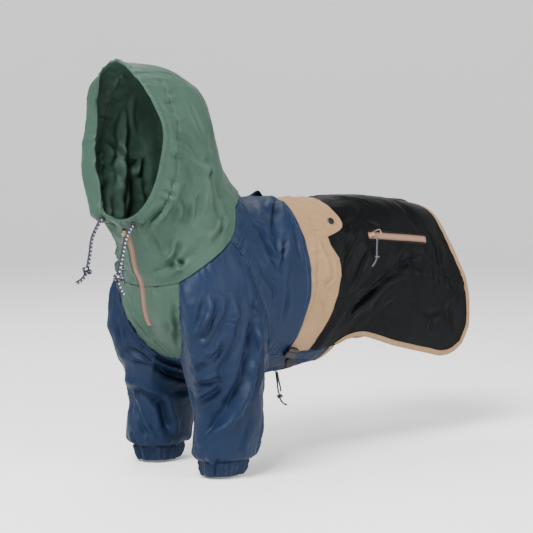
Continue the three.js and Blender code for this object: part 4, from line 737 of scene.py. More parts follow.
GREEN = nylon("green_nylon", (0.0285, 0.060, 0.0435), (0.0225, 0.049, 0.0350))
BLUE = nylon("blue_nylon", (0.0048, 0.0132, 0.0355), (0.0038, 0.0106, 0.0290), specular=0.12)
TAN = nylon("tan_nylon", (0.245, 0.149, 0.076), (0.205, 0.124, 0.063), roughness=0.52)
BLACK = nylon("black_nylon", (0.0008, 0.0011, 0.0015), (0.0006, 0.0009, 0.0012), sheen=0.0,
              specular=0.08)
BINDING = tape("binding_tape", (0.240, 0.149, 0.080), 0.5, roughness=0.65, specular=0.15)
WEBBING = tape("webbing", (0.004, 0.0045, 0.0052), 0.35, roughness=0.7, specular=0.15)
ZIP = tape("zip_tape", (0.225, 0.125, 0.072), 0.9, roughness=0.42, sheen=0.0, specular=0.3)
ZIP_SHINE = tape("zip_sheen", (0.115, 0.056, 0.033), 0.9, roughness=0.34, sheen=0.0, specular=0.4)
ZIP_METAL = moulded("zip_slider", (0.260, 0.150, 0.090), 0.38)
WIRE = moulded("pull_wire", (0.30, 0.25, 0.20), 0.3, metallic=1.0)
EYELET = moulded("eyelet_metal", (0.035, 0.036, 0.038), 0.42, metallic=0.7)
SNAP = moulded("snap_metal", (0.018, 0.019, 0.021), 0.36, metallic=0.5)
PLASTIC = moulded("black_plastic", (0.003, 0.0033, 0.004), 0.46)
CORD = braid("braided_cord", (0.0025, 0.0035, 0.013), (0.36, 0.38, 0.44), 1, 11.0, 0.42)
PULL_CORD = braid("braided_pull_cord", (0.0025, 0.0035, 0.013), (0.26, 0.28, 0.34), 1, 7.0, 0.5)
ELASTIC = braid("elastic_cord", (0.004, 0.0045, 0.0055), (0.012, 0.013, 0.016), 2, 3.0)
THREADS = {
    name: tape(f"{name}_thread", colour, 1.0, specular=0.25)
    for name, colour in {
        "green": (0.048, 0.092, 0.066), "blue": (0.028, 0.058, 0.122), "tan": (0.230, 0.140, 0.080),
        "black": (0.011, 0.012, 0.014),
    }.items()
}


# ---- Cords ----
def even_curve(points, count):
    """The curve through points, as count points at even distances."""
    fine = centripetal(points, 60)
    run = run_of(fine)
    return read_at(np.linspace(0, run[-1], count), run, fine)


def carried_frames(line):
    """Directions across a line that turn with it as little as they can."""
    way = unit(np.gradient(line, axis=0))
    x = np.cross(way[0], (0, 0, 1) if abs(way[0][2]) < 0.9 else (1, 0, 0))
    xs = []
    for t in way:
        x = unit(x - t * (x @ t))
        xs.append(x)
    xs = np.array(xs)
    return xs, np.cross(way, xs)


def rope(name, line, diameter, material, body_name, strands=2, pitch=4.6, plump=0.07, round_steps=16):
    """A braided tube along a line, its strands standing slightly proud, with rounded ends."""
    xs, ys = carried_frames(line)
    run = run_of(line)
    turn = np.linspace(0, 2 * np.pi, round_steps, endpoint=False)
    spiral = [2 * np.pi * run[:, None] / pitch + s * strands * turn[None] for s in (1, -1)]
    bump = plump * np.sin(spiral[0]) * np.sin(spiral[1])
    from_end = np.clip(np.minimum(run, run[-1] - run) / (0.5 * diameter), 0, 1)
    close = np.sqrt(np.clip(1 - (1 - from_end) ** 2, 0.02, 1))
    radius = diameter / 2 * close[:, None] * (1 + bump)
    points = line[:, None] + radius[..., None] * (
        np.cos(turn)[None, :, None] * xs[:, None] + np.sin(turn)[None, :, None] * ys[:, None]
    )
    rows = len(line)
    faces = grid_faces(rows, round_steps + 1)
    seam_points = np.concatenate([points, points[:, :1]], 1)
    uv = together(run[:, None], np.linspace(0, 1, round_steps + 1)[None]).reshape(-1, 2)
    flat = seam_points.reshape(-1, 3)
    away = flat - np.repeat(line, round_steps + 1, axis=0)
    faces = outward(flat, away, faces)
    caps = [np.arange(round_steps + 1), np.arange(round_steps + 1) + (rows - 1) * (round_steps + 1)]
    every = [*faces.tolist(), caps[0].tolist(), caps[1][::-1].tolist()]
    piece = make_mesh(name, flat, every, material, uv, body_name)
    return piece, run[-1]


def tied_knot(name, centre, way, size, diameter, material, body_name, turn=0.0):
    """An overhand knot drawn up round the cord: a three-lobed winding of the same cord."""
    t = np.linspace(0, 2 * np.pi, 90)
    x, y = np.sin(t + turn) + 1.9 * np.sin(2 * t + turn), np.cos(t + turn) - 1.9 * np.cos(2 * t + turn)
    z = -np.sin(3 * t)
    scale = size / 2.9
    way = unit(np.asarray(way, float))
    side = unit(np.cross(way, (0.3, 0.9, 0.2)))
    other = np.cross(way, side)
    # lobes go round the cord, flattened along it
    local = scale * (x[:, None] * side + y[:, None] * other) + 1.15 * scale * z[:, None] * way
    return rope(name, np.asarray(centre, float) + local, diameter, material, body_name, pitch=3.4)[0]


# Each cord: its points from where it comes out, its diameter, its body, and the knot on it, by CAD node,
# centre, size and strand.
CORDS = {
    "drawcord_left": {
        "points": [
            (23.24, -220.17, -27.63), (23.76, -223.3, -29.32), (27.5, -236, -44), (29.5, -244, -68),
            (30, -250, -88), (30.2, -251, -95), (30.4, -251.6, -102), (30, -247, -112), (29, -241, -120),
        ],
        "diameter": 5.2, "body": "jacket", "knot": ("drawcord_left_knot", (30.2, -251, -95), 5.8, 3.8),
    },
    "drawcord_right": {
        "points": [
            (-39.13, -227.1, -20.57), (-38.52, -229.76, -22.92), (-39, -243, -46), (-36, -249, -66),
            (-35, -253.5, -83), (-35, -256, -90), (-35, -259, -97), (-35, -266, -103), (-35, -274, -106),
        ],
        "diameter": 5.2, "body": "jacket", "knot": ("drawcord_right_knot", (-35, -256, -90), 5.8, 3.8),
    },
    "neck_zip_cord": {
        "points": [
            (0, -218.45, -54.64), (0, -218.85, -64.64), (0.3, -221, -80), (0.5, -221.6, -86),
            (0.7, -222, -92), (1, -221, -100), (1.5, -219, -108),
        ],
        "diameter": 2.6, "body": "neck_pull", "knot": ("neck_zip_knot", (0.5, -221.7, -88), 3.2, 1.8),
    },
    "pocket_zip_cord": {
        "points": [
            (95.24, 175.46, -56.03), (97.2, 175.63, -60.63), (98, 174.5, -74.5), (98.6, 174, -82),
            (98.8, 172.6, -90), (98.6, 169, -96), (98.4, 163, -101),
        ],
        "diameter": 2.6, "body": "jacket", "knot": ("pocket_zip_knot", (98.7, 173.5, -86), 3.2, 1.8),
    },
    "belly_cord_front": {
        "points": [
            (17.93, 43.69, -253.06), (18.6, 43.9, -256.68), (18.7, 46.4, -270), (18.6, 48.6, -283),
            (19.6, 50, -290), (20.2, 51.5, -296), (20.2, 57, -302), (20, 65, -306),
        ],
        "diameter": 2.6, "body": "jacket", "knot": ("belly_knot", (19.8, 50.2, -291), 4.0, 2.1),
    },
    "belly_cord_rear": {
        "points": [
            (21.33, 43.69, -253.06), (22.3, 43.9, -256.68), (22.1, 46.6, -268), (21.9, 49.6, -277),
            (21.6, 51.4, -284.2),
        ],
        "diameter": 2.6, "body": "jacket", "knot": None,
    },
}


def add_cords():
    for name, spec in CORDS.items():
        length = run_of(centripetal(spec["points"], 60))[-1]
        line = even_curve(spec["points"], max(20, int(length / 0.55)))
        plain = spec["diameter"] > 3
        material = CORD if plain else ELASTIC if name.startswith("belly") else PULL_CORD
        piece, length = rope(f"{name}_braid", line, spec["diameter"], material, spec["body"],
                             pitch=4.6 if plain else 3.0)
        stand_for(name)
        if spec["knot"]:
            node_name, centre, size, strand = spec["knot"]
            at = np.argmin(np.linalg.norm(line - centre, axis=1))
            way = line[min(at + 3, len(line) - 1)] - line[at - 3]
            tied = tied_knot(f"{node_name}_tied", line[at], way, size, strand, material, spec["body"])
            stand_for(node_name)


add_cords()


# ---- Cloth panels ----
def grid_distances(points):
    """Distance in mm of each grid point from its first and last row, and its first and last column."""
    rows = np.linalg.norm(np.diff(points, axis=0), axis=-1)
    columns = np.linalg.norm(np.diff(points, axis=1), axis=-1)
    down = np.concatenate([np.zeros((1, points.shape[1])), np.cumsum(rows, axis=0)])
    across = np.concatenate([np.zeros((points.shape[0], 1)), np.cumsum(columns, axis=1)], axis=1)
    return {"front": down, "rear": down[-1:] - down, "first": across, "last": across[:, -1:] - across}


def seam_places(points, side):
    shape = points.shape
    row = {"front": points[:1], "rear": points[-1:], "first": points[:, :1], "last": points[:, -1:]}[side]
    return np.broadcast_to(row, shape)


def seam_dip(distance):
    """The groove of a seam at 0, and the shallow one of its topstitching."""
    return -0.8 * bell(distance, 0.9) - 0.25 * bell(distance - 2.6, 0.7)


def edge_height(points, edges):
    """How the cloth lies at its edges, each of some kind, with puckers of some height, reach and pitch."""
    far = grid_distances(points)
    total = np.zeros(points.shape[:2])
    for side, (kind, pucker, reach, pitch) in edges.items():
        distance, place = far[side], seam_places(points, side)
        if pucker:
            wave = noise(place / pitch) + 0.55 * noise(place / (0.43 * pitch) + 9)
            total += pucker * wave * bell(distance, reach, 1.2) * smooth(distance, -0.5, 1.5)
        if kind == "seam":
            total += seam_dip(distance)
        elif kind == "hem":
            turned = 1 - smooth(distance, 8.6, 9.6)
            total += 0.35 * turned - 0.3 * bell(distance - 9.0, 0.8)
            total += -0.5 * bell(distance, 0.7)
    return total


PANELS = {}
# Where something lies on the cloth, which is flatter there: route as (u, v), reach, height over the folds.
PRESSED = {
    "hood_left": [([(0.55, 0.915), (0.65, 0.915)], 6.5, 0.1)],
    "hood_right": [([(0.45, -0.85), (0.55, -0.85)], 6.5, 0.1)],
    "back_panel": [([(10.0, 0.735), (10.3, 0.76)], 12, 0.0), ([(10.0, -0.735), (10.3, -0.76)], 12, 0.0)],
    "waist_panel": [
        ([(11.2, 0.25), (11.28, 0.25)], 8, 0.1), ([(11.2, -0.25), (11.28, -0.25)], 8, 0.1),
        ([(10.2, 0.74), (10.4, 0.76)], 12, 0.0),
    ],
    "rump_panel": [([(12.28, 0.326), (13.82, 0.32)], 13, 0.0), ([(13.9, 0.001), (14.4, 0.001)], 10, 0.0)],
    "belly_panel": [
        ([(10.5, 0.935), (10.62, 0.935)], 8, 0.0),
        ([(10.42, 0.793), (10.5, 0.82), (10.74, 0.875), (10.78, 0.92), (10.78, 1.08), (10.74, 1.125),
          (10.5, 1.18), (10.42, 1.207)], 9, -0.2),
    ],
}


def dress(name, uv, material, edges, channels=(), depth=None, crinkle=(32, 2.2), hole=None, lift=None):
    """Lays a panel on the body surface, with its folds, creases, channels and edges, as a thin wall."""
    u, v = uv[..., 0], uv[..., 1]
    base, n = surface(uv)
    folds = fold_height(base, BODY_FOLDS)
    height = folds + crease_height(base, n, BODY_CREASES) + crumple(base, *crinkle)
    height += channel_height(base, channels) + edge_height(base, edges)
    if lift is not None:
        height += lift
    for route, reach, level in PRESSED.get(name, ()):
        line = np.array([body(*place) for place in route])
        near = bell(nearest_on(line, base)[0], reach, 4)
        height = height * (1 - near) + (folds + level) * near
    points = base + n * (height - (0 if depth is None else depth(u, v)))[..., None]
    far = grid_distances(base)
    flat = together(far["front"], far["first"])
    wall = CLOTH
    if name.startswith("hood"):
        # the casing of the drawcord fills the face edge
        cased = bell(far["front"] - 3.6, 3.4, 4)
        points = points + n * (0.9 * cased)[..., None]
        wall = CLOTH + 2.6 * cased
    if name == "rump_panel":
        # the skirt's right lobe hangs a little higher than its left
        points[..., 2] += 9 * smooth(-v, 0.42, 0.64) * smooth(u, 13.0, 14.2)
    shell(f"{name}_cloth", points, n, material, thickness=wall, hole=hole, uv=flat)
    PANELS[name] = {"points": points, "n": n, "base": base}


def spine_columns(length):
    """Signed running indices from the spine, over a half length in mm, for the sided panels."""
    half = spaced(length, len(ROUND) - 0.5, first=False)
    return np.concatenate([-half[:0:-1], half])


def spine_round(x):
    """Where the shared grid lines cross the round, at signed running indices from the spine."""
    q = np.abs(x) - 0.5
    past_first = np.interp(np.maximum(q, 0), np.arange(len(ROUND)), ROUND)
    return np.sign(x) * np.where(q < 0, ROUND[0] * (q + 0.5) / 0.5, past_first)


HOOD_RINGS = spaced(300, NECK)  # u of the hood's mesh rows, from the face to the neck seam
ZIP_TOP = 0.8  # u of the neck zip's upper end


def hood_side(name, side):
    ring, share = HOOD_RINGS[:, None], spaced(255, 1)[None, :]
    start = crown_at(ring) + step_v(ring, crown_at(ring), SEAM)
    slot = np.interp(ring, [0.7, ZIP_TOP], [SEAM, ZIP_HALF])
    end = 1 - step_v(ring, 0.999, 1) * slot
    v = start + (end - start) * share
    u = face_u(v) + (neck_u(v) - face_u(v)) * ring / NECK
    dress(name, together(u, side * v), GREEN, {
        "front": ("hem", 1.6, 12, 6), "rear": ("seam", 1.8, 14, 7), "first": ("seam", 0.5, 7, 11),
        "last": ("seam", 0.4, 6, 8),
    }, CHANNELS["hood"], crinkle=(30, 1.7))


def hood_center():
    ring, across = HOOD_RINGS[:, None], spaced(56, 2)[None, :] - 1
    v = across * (crown_at(ring) - step_v(ring, crown_at(ring), SEAM))
    u = face_u(v) + (neck_u(v) - face_u(v)) * ring / NECK
    dress("hood_center", together(u, v), GREEN, {
        "front": ("hem", 1.6, 12, 6), "rear": ("seam", 1.8, 14, 7), "first": ("seam", 0.5, 7, 11),
        "last": ("seam", 0.35, 7, 11),
    }, CHANNELS["hood"], crinkle=(30, 1.7))


def bib():
    half, steps = STEPS["throat"], STEPS["bib"]
    columns = 2 * half + 1
    foot_row = 3.66
    rows = np.unique(np.concatenate([spaced(105, steps), [foot_row]]))
    left = spaced(72, half)
    middle = np.linspace(half, half + 1, 5)[1:-1]
    xs = np.concatenate([left, middle, columns - left[::-1]])

    def front(j):
        near = np.minimum(j, columns - j)
        v = BIB_EDGE[0][1] + (1 - BIB_EDGE[0][1]) * near / (half + 0.5)
        return mirrored(j, columns, together(neck_u(v) + step_u(NECK, v, SEAM), v))

    def rear(j):
        return mirrored(j, columns, chest_seam(np.minimum(j, columns - j) / (half + 0.5)))

    uv = patch(rows, xs, front, rear, lambda i: bib_edge(i / steps),
               lambda i: flip_belly(bib_edge(i / steps)))
    # the slot's two sides stand the zip's half width from the middle
    foot = ZIP_FOOT + step_u(ZIP_FOOT, 1.0, 2 * SEAM)
    column, far_column = (np.argmin(np.abs(xs - x)) for x in (half, half + 1))
    row = np.argmin(np.abs(rows - foot_row))
    slot_v = step_v(uv[:, column, 0], 1.0, ZIP_HALF)
    hold = (1 - smooth(rows, foot_row + 1.3, foot_row + 2.3))[:, None]
    toward = np.clip(np.minimum(xs, columns - xs) / half, 0, 1)[None] ** 2
    inside = np.clip((xs - half), 0, 1)[None]
    wanted = (1 - slot_v)[:, None] + 2 * slot_v[:, None] * inside
    shift = np.where(xs[None] <= half, (wanted - uv[:, column, 1][:, None]) * toward, 0)
    shift = np.where(xs[None] >= half + 1,
                     (1 + slot_v[:, None] - uv[:, far_column, 1][:, None]) * toward, shift)
    uv[..., 1] += shift * hold
    between = (xs > half) & (xs < half + 1)
    uv[:, between, 1] = (wanted * hold + uv[..., 1] * (1 - hold))[:, between]
    lift_u = np.interp(rows, [0, foot_row, steps], [0, 1, 0])[:, None]
    uv[..., 0] += (foot - uv[row, column, 0]) * lift_u * toward
    in_slot = (xs[:-1] >= half - 1e-6) & (xs[:-1] < half + 1 - 1e-6)
    hole = (rows[:-1, None] < foot_row - 1e-6) & in_slot[None]
    dress("bib", uv, GREEN, {
        "front": ("seam", 1.2, 12, 7), "rear": ("seam", 1.4, 12, 7), "first": ("seam", 1.4, 12, 6),
        "last": ("seam", 1.4, 12, 6),
    }, crinkle=(30, 1.8), hole=hole)
    PANELS["bib"]["slot"] = column, far_column, row


SLIT = (4, 9, 0.45, 8.5)  # the leash slit: its first and last row, half its columns, its lip's height in mm


def back_panel():
    steps = STEPS["raglan"] + STEPS["side"]
    rows = spaced(300, steps)
    xs = spine_columns(245)
    side = chain((raglan, STEPS["raglan"]), (side_top, STEPS["side"]))

    def front(x):
        q = np.abs(x) - 0.5
        far = 0.07 + (RAGLAN[0][1] - 0.07) * (q - 1) / STEPS["crown"]
        past_first = np.where(q < 1, ROUND[0] + (0.07 - ROUND[0]) * q, far)
        v = np.where(q < 0, ROUND[0] * (q + 0.5) / 0.5, past_first)
        return together(neck_u(v) + step_u(NECK, v, SEAM), np.sign(x) * v)

    def rear(x):
        v = spine_round(x)
        return together(back_hem_at(np.abs(v)), v)

    uv = patch_over_spine(rows, xs, front, rear, side)
    # the leash slit on the spine, one lip of which stands up
    start, end, half_wide, proud = SLIT
    along = np.clip((rows - start) / (end - start), 0, 1)
    lip = proud * np.sin(np.pi * along)[:, None] * bell(np.clip(-xs - 0.4, 0, None), 0.75)[None]
    lip = np.where(xs[None] < 0.0, lip, 0)
    hole = ((rows[:-1, None] >= start) & (rows[:-1, None] < end)
            & (xs[None, :-1] > -half_wide) & (xs[None, 1:] < half_wide))
    dress("back_panel", uv, BLUE, {
        "front": ("seam", 1.3, 14, 8), "rear": ("hem", 0.7, 10, 8), "first": ("seam", 2.4, 14, 5),
        "last": ("seam", 2.4, 14, 5),
    }, crinkle=(34, 1.5), hole=hole, lift=lip)


def belly_panel():
    arm, chest = STEPS["underarm"], STEPS["chest"]
    half, steps = arm + chest, STEPS["side"] + STEPS["flank"]
    columns = 2 * half + 1
    rows, xs = spaced(150, steps), spaced(330, columns)
    front_half = chain((backward(underarm), arm), (chest_seam, chest + 0.5))
    hem = edge(BELLY_HEM)
    side = chain((side_top, STEPS["side"]), (side_flank, STEPS["flank"]))

    def seam(i):
        uv = side(i)
        shift = np.interp(i, [0, STEPS["side"], STEPS["side"] + 0.7], [2 * SEAM, 2 * SEAM, -6.5])
        return uv + together(np.zeros(len(uv)), step_v(uv[:, 0], uv[:, 1], shift))

    def under(u, v):
        past = (seam_at(np.clip(u, 9.62, 11.68)) - round_of(v)) / step_v(u, 0.77, 1)
        return 5.6 * smooth(past, -1.0, 1.6) * smooth(u, 10.1, 10.3)

    def front(j):
        near = np.minimum(j, columns - j)
        uv = front_half(near)
        uv[:, 0] += np.where(near >= arm, step_u(uv[:, 0], uv[:, 1], 2 * SEAM), 0)
        return mirrored(j, columns, uv)

    def rear(j):
        return mirrored(j, columns, hem(np.minimum(j, columns - j) / (half + 0.5)))

    uv = patch(rows, xs, front, rear, seam, lambda i: flip_belly(seam(i)))
    dress("belly_panel", uv, BLUE, {
        "front": ("seam", 1.3, 12, 6), "rear": ("bound", 0.4, 8, 9), "first": ("seam", 0.8, 9, 7),
        "last": ("seam", 0.8, 9, 7),
    }, depth=under, crinkle=(34, 1.8))


def waist_depth(u, v):
    return LAYER + 1.3 * smooth(back_hem_at(round_of(v)) + 0.12 - u, 0, 0.3)


WAIST_END = 0.762  # v at which the waist panel's columns end, before they are drawn to its side seam


def waist_panel():
    rows = spaced(62, 1, first=False)
    v_half = spaced(245, 1, first=False) * WAIST_END
    # extra columns at the tab, whose outline turns quickly there
    v_half = np.unique(np.round(np.concatenate([v_half, np.linspace(0.225, 0.325, 56)]), 5))
    v = np.concatenate([-v_half[:0:-1], v_half])[None]
    t = rows[:, None]
    start, end = back_hem_at(np.abs(v)) - 0.3, tan_hem_at(np.abs(v))
    u = start + (end - start) * t
    rim = seam_at(u) - step_v(u, 0.76, 0.8)
    v_full = v * np.where(
        np.abs(v) > 0.7, 1 + (rim / WAIST_END - 1) * smooth(np.abs(v), 0.7, WAIST_END), 1
    )
    dress("waist_panel", together(u, v_full), TAN, {
        "rear": ("hem", 0.35, 7, 9), "first": ("seam", 0.6, 8, 7), "last": ("seam", 0.6, 8, 7),
    }, CHANNELS["waist"], depth=waist_depth, crinkle=(34, 1.8))


def rump_depth(u, v):
    fade = np.interp(round_of(v), [0.61, 0.69], [0.5, 0.3])
    return RUMP_DEPTH * (1 - smooth((u - rise_at(round_of(v))) / fade, 0, 1))


def rump_panel():
    seam_steps, last = STEPS["rump_seam"], len(ROUND) - 1
    steps = seam_steps + STEPS["rump"]
    rows, xs = spaced(330, steps, first=False), spine_columns(235)
    free = chain((edge(RUMP_SEAM), seam_steps), (edge(RUMP_SIDE), STEPS["rump"]))
    rear_edge = edge(RUMP_REAR)

    def side(i):
        uv = free(i)
        inset = np.interp(i, [0, seam_steps - 1, seam_steps, seam_steps + 0.4], [0.8, 0.8, SEAM, 0])
        return uv - together(np.zeros(len(uv)), step_v(uv[:, 0], uv[:, 1], inset))

    def front(x):
        v = np.abs(spine_round(x))
        return together(np.minimum(back_hem_at(v) + 0.55, tan_hem_at(v) - 0.25), np.sign(x) * v)

    def rear(x):
        q = np.abs(x) - 0.5
        share = np.interp(q, [-0.5, 0, last - 2, last - 1, last],
                          [0, 0.15 / last * 0.97, (last - 1.85) / last * 0.97, 0.96, 1])
        uv = rear_edge(share)
        return uv * together(np.ones(len(x)), np.where(x < 0, -1, 1))

    uv = patch_over_spine(rows, xs, front, rear, side)
    dress("rump_panel", uv, BLACK, {
        "rear": ("bound", 0.35, 9, 12), "first": ("bound", 0.3, 8, 12), "last": ("bound", 0.3, 8, 12),
    }, CHANNELS["rump"], depth=rump_depth, crinkle=(34, 1.5))
    PANELS["rump_panel"]["free_row"] = int(np.argmax(rows >= seam_steps))


hood_side("hood_left", 1)
hood_side("hood_right", -1)
hood_center()
bib()
back_panel()
belly_panel()
waist_panel()
rump_panel()


# ---- Sleeves ----
# The sleeve leaves the armhole, at a place round it (0 to 1 is the neck, 1 to 2 the bib, 2 to 3 the
# underarm, 3 to 4 the raglan seam), along a lean, over a reach, towards an angle of its own rings.
ARMHOLE = np.array([
    # at angle leanOut leanRear leanDown reach
    [0, 20, 0.35, 0.25, 0.9, 250],
    [0.5, -18, 0.55, -0.05, 0.83, 220],
    [1, -60, 0.75, -0.35, 0.55, 180],
    [1.35, -84, 0.8, -0.4, 0.45, 145],
    [1.7, -106, 0.6, -0.45, 0.65, 105],
    [2, -132, 0.35, -0.3, 0.87, 75],
    [2.3, -162, 0.2, -0.1, 0.97, 55],
    [2.65, -197, 0.3, 0, 0.95, 60],
    [3, -243, 0.35, 0.05, 0.94, 75],
    [3.22, -264, 0.35, 0, 0.93, 105],
    [3.5, -288, 0.45, -0.1, 0.88, 155],
    [3.75, -315, 0.45, 0.05, 0.89, 210],
    [4, -340, 0.35, 0.25, 0.9, 250],
])
SLEEVE_RINGS = np.array([
    # x y z across along
    [75, -95, -292, 41, 53],
    [76, -99, -322, 41, 53],
    [75, -103, -342, 38, 49],
    [73, -104, -353, 31, 39],
])
JOIN = 0.72  # share of the sleeve's length at which it has come from the armhole to its first ring
# Depth outward, half breadth, route as (angle round the sleeve, share of its length), for each side.
SLEEVE_FOLDS = {
    1: [
        (-7, 12, [(-20, 0.25), (-40, 0.5), (-75, 0.78)]),
        (5, 12, [(-50, 0.3), (-75, 0.55)]),
        (-5, 10, [(40, 0.35), (15, 0.6)]),
    ],
    -1: [
        (-6, 12, [(-110, 0.3), (-80, 0.45), (-50, 0.55)]),
        (-5, 10, [(-70, 0.6), (-95, 0.8)]),
        (5, 12, [(-80, 0.2), (-40, 0.35)]),
    ],
}
# Depth, half breadth, lean, route as above.
SLEEVE_CREASES = {
    1: [
        (8.0, 8.0, -0.9, [
            (28, 0.26), (19, 0.33), (9, 0.41), (-7, 0.51), (-29, 0.6), (-54, 0.72), (-81, 0.79),
        ]),
        (3.0, 5.0, 0.5, [(-14, 0.25), (0, 0.28), (-16, 0.32)]),
        (4.0, 5.5, 0.6, [(-19, 0.33), (-35, 0.38), (-63, 0.41), (-82, 0.39)]),
        (4.2, 5.0, 0.6, [(-35, 0.49), (-58, 0.49), (-81, 0.47)]),
        (4.2, 5.0, 0.5, [(-38, 0.53), (-58, 0.56), (-88, 0.57)]),
        (3.6, 5.5, 0.5, [(-20, 0.17), (-32, 0.23), (-47, 0.29), (-66, 0.3)]),
        (3.2, 5.5, -0.5, [(-33, 0.11), (-44, 0.19), (-58, 0.26)]),
        (3.6, 5.5, 0.5, [(-4, 0.19), (-17, 0.24), (-38, 0.31), (-54, 0.36)]),
        (4.0, 4.5, 0.5, [(24, 0.24), (42, 0.21), (60, 0.18)]),
        (3.0, 4.0, -0.4, [(-36, 0.37), (-55, 0.38), (-73, 0.375)]),
        (4.0, 6.5, 0.6, [(10, 0.21), (6, 0.28), (-12, 0.36), (-36, 0.45)]),
        (2.4, 5.0, 0.4, [(2, 0.73), (-6, 0.81), (-14, 0.9)]),
        (2.6, 3.5, 0.4, [(-51, 0.89), (-49, 0.95), (-48, 0.99)]),
        (2.8, 6.5, -0.4, [(65, 0.26), (38, 0.44), (13, 0.59)]),
        (3.0, 6.0, 0.5, [(110, 0.25), (95, 0.4), (70, 0.6)]),
        (3.0, 6.0, -0.5, [(150, 0.3), (120, 0.5), (100, 0.75)]),
        (2.6, 5.0, 0.5, [(-120, 0.35), (-105, 0.5), (-110, 0.7)]),
        (2.6, 5.0, 0.4, [(60, 0.7), (50, 0.82), (35, 0.9)]),
    ],
    -1: [
        (5.0, 5.5, 0.6, [(-101, 0.25), (-107, 0.17), (-119, 0.14), (-134, 0.16), (-157, 0.19), (-187, 0.27)]),
        (3.6, 4.0, 0.5, [(-106, 0.28), (-120, 0.22), (-136, 0.21)]),
        (4.0, 5.0, 0.5, [(-138, 0.2), (-162, 0.24), (-188, 0.31)]),
        (4.2, 7.0, 0.6, [(-76, 0.62), (-95, 0.57), (-115, 0.55), (-140, 0.63), (-158, 0.78), (-177, 0.92)]),
        (4.0, 6.0, -0.5, [(-140, 0.65), (-152, 0.77), (-167, 0.83)]),
        (2.8, 4.0, 0.5, [(-81, 0.65), (-110, 0.78), (-128, 0.86), (-140, 0.92)]),
        (2.6, 5.0, 0.4, [(-188, 0.46), (-176, 0.47), (-165, 0.48)]),
        (2.4, 4.5, 0.4, [(-89, 0.09), (-93, 0.16), (-97, 0.22)]),
        (2.4, 4.0, 0.4, [(-93, 0.85), (-100, 0.92), (-104, 0.97)]),
        (3.0, 5.5, 0.5, [(-20, 0.2), (-30, 0.35), (-50, 0.5)]),
        (3.0, 6.0, -0.5, [(40, 0.3), (20, 0.45), (-10, 0.65)]),
        (3.0, 6.0, 0.5, [(120, 0.3), (95, 0.45), (75, 0.7)]),
        (2.6, 5.0, 0.5, [(160, 0.4), (150, 0.55), (140, 0.75)]),
    ],
}
ARM_SIDES = (
    (lambda t: together(neck_u(0.49 + 0.277 * t), 0.49 + 0.277 * np.asarray(t, float)), STEPS["shoulder"]),
    (bib_edge, STEPS["bib"]),
    (underarm, STEPS["underarm"]),
    (backward(raglan), STEPS["raglan"]),
)
ARM_STEPS = sum(steps for _, steps in ARM_SIDES)
arm_uv = chain(*ARM_SIDES)
PLACE_STEPS = np.concatenate([[0], np.cumsum([steps for _, steps in ARM_SIDES])])


def arm_place(step):
    return np.interp(step, PLACE_STEPS, np.arange(5))


def arm_lean(place):
    rows = ARMHOLE[:, 0]
    k = np.clip(np.searchsorted(rows, place, side="right") - 1, 0, len(rows) - 2)
    return running(ARMHOLE[:, 1:], k + (place - rows[k]) / (rows[k + 1] - rows[k]))


def sleeve_start(step):
    uv = arm_uv(step)
    p, n = surface(uv)
    p = p + n * fold_height(p, BODY_FOLDS)[:, None]
    ahead, behind = (arm_uv(np.mod(step + d, ARM_STEPS)) for d in (0.2, -0.2))
    way = body(ahead[:, 0], ahead[:, 1]) - body(behind[:, 0], behind[:, 1])
    return p + unit(np.cross(n, way)) * 0.1


def sleeve_points(shares, steps):
    """Points of the left sleeve over shares of its length and steps round the armhole."""
    angle, out, rear, down, reach = np.moveaxis(arm_lean(arm_place(steps)), -1, 0)
    turn = np.radians(angle)
    start = sleeve_start(steps)
    lean = unit(together(out, rear, -down))

    def ring(k):
        x, y, z, across, along = running(SLEEVE_RINGS, k)
        return together(x + across * np.cos(turn), y + along * np.sin(turn), np.full(turn.shape, z))

    first = ring(0.0)
    rows = []
    for s in shares:
        if s < JOIN:
            q = s / JOIN
            row = (2 * q**3 - 3 * q**2 + 1) * start + (q**3 - 2 * q**2 + q) * lean * reach[:, None]
            row = row + (3 * q**2 - 2 * q**3) * first
            row = row + (q**3 - q**2) * 0.6 * reach[:, None] * np.array([0, 0, -1.0])
        else:
            row = ring((s - JOIN) / (1 - JOIN) * (len(SLEEVE_RINGS) - 1))
        rows.append(row)
    return np.array(rows)


def step_at_angle(angle):
    steps = np.arange(0, ARM_STEPS, 0.05)
    angles = arm_lean(arm_place(steps))[:, 0]
    wanted = np.where(np.asarray(angle) > 20, np.asarray(angle) - 360, angle)
    return np.interp(-wanted, -angles, steps)


def sleeve_route(route, count=2):
    pts = refined(route, count) if count > 2 else np.asarray(route, float)
    angle, share = pts[:, 0], pts[:, 1]
    return np.array([sleeve_points([s], np.array([step_at_angle(a)]))[0, 0] for a, s in zip(angle, share)])


def grid_normals(points, wrap):
    down = np.gradient(points, axis=0)
    if wrap:
        padded = np.concatenate([points[:, -1:], points, points[:, :1]], 1)
        around = (padded[:, 2:] - padded[:, :-2]) / 2
    else:
        around = np.gradient(points, axis=1)
    return unit(np.cross(down, around))


SLEEVE_COLUMNS = 228  # mesh lines round the sleeve
SLEEVE_CREASE_GAIN = 1.75  # on the depths in SLEEVE_CREASES


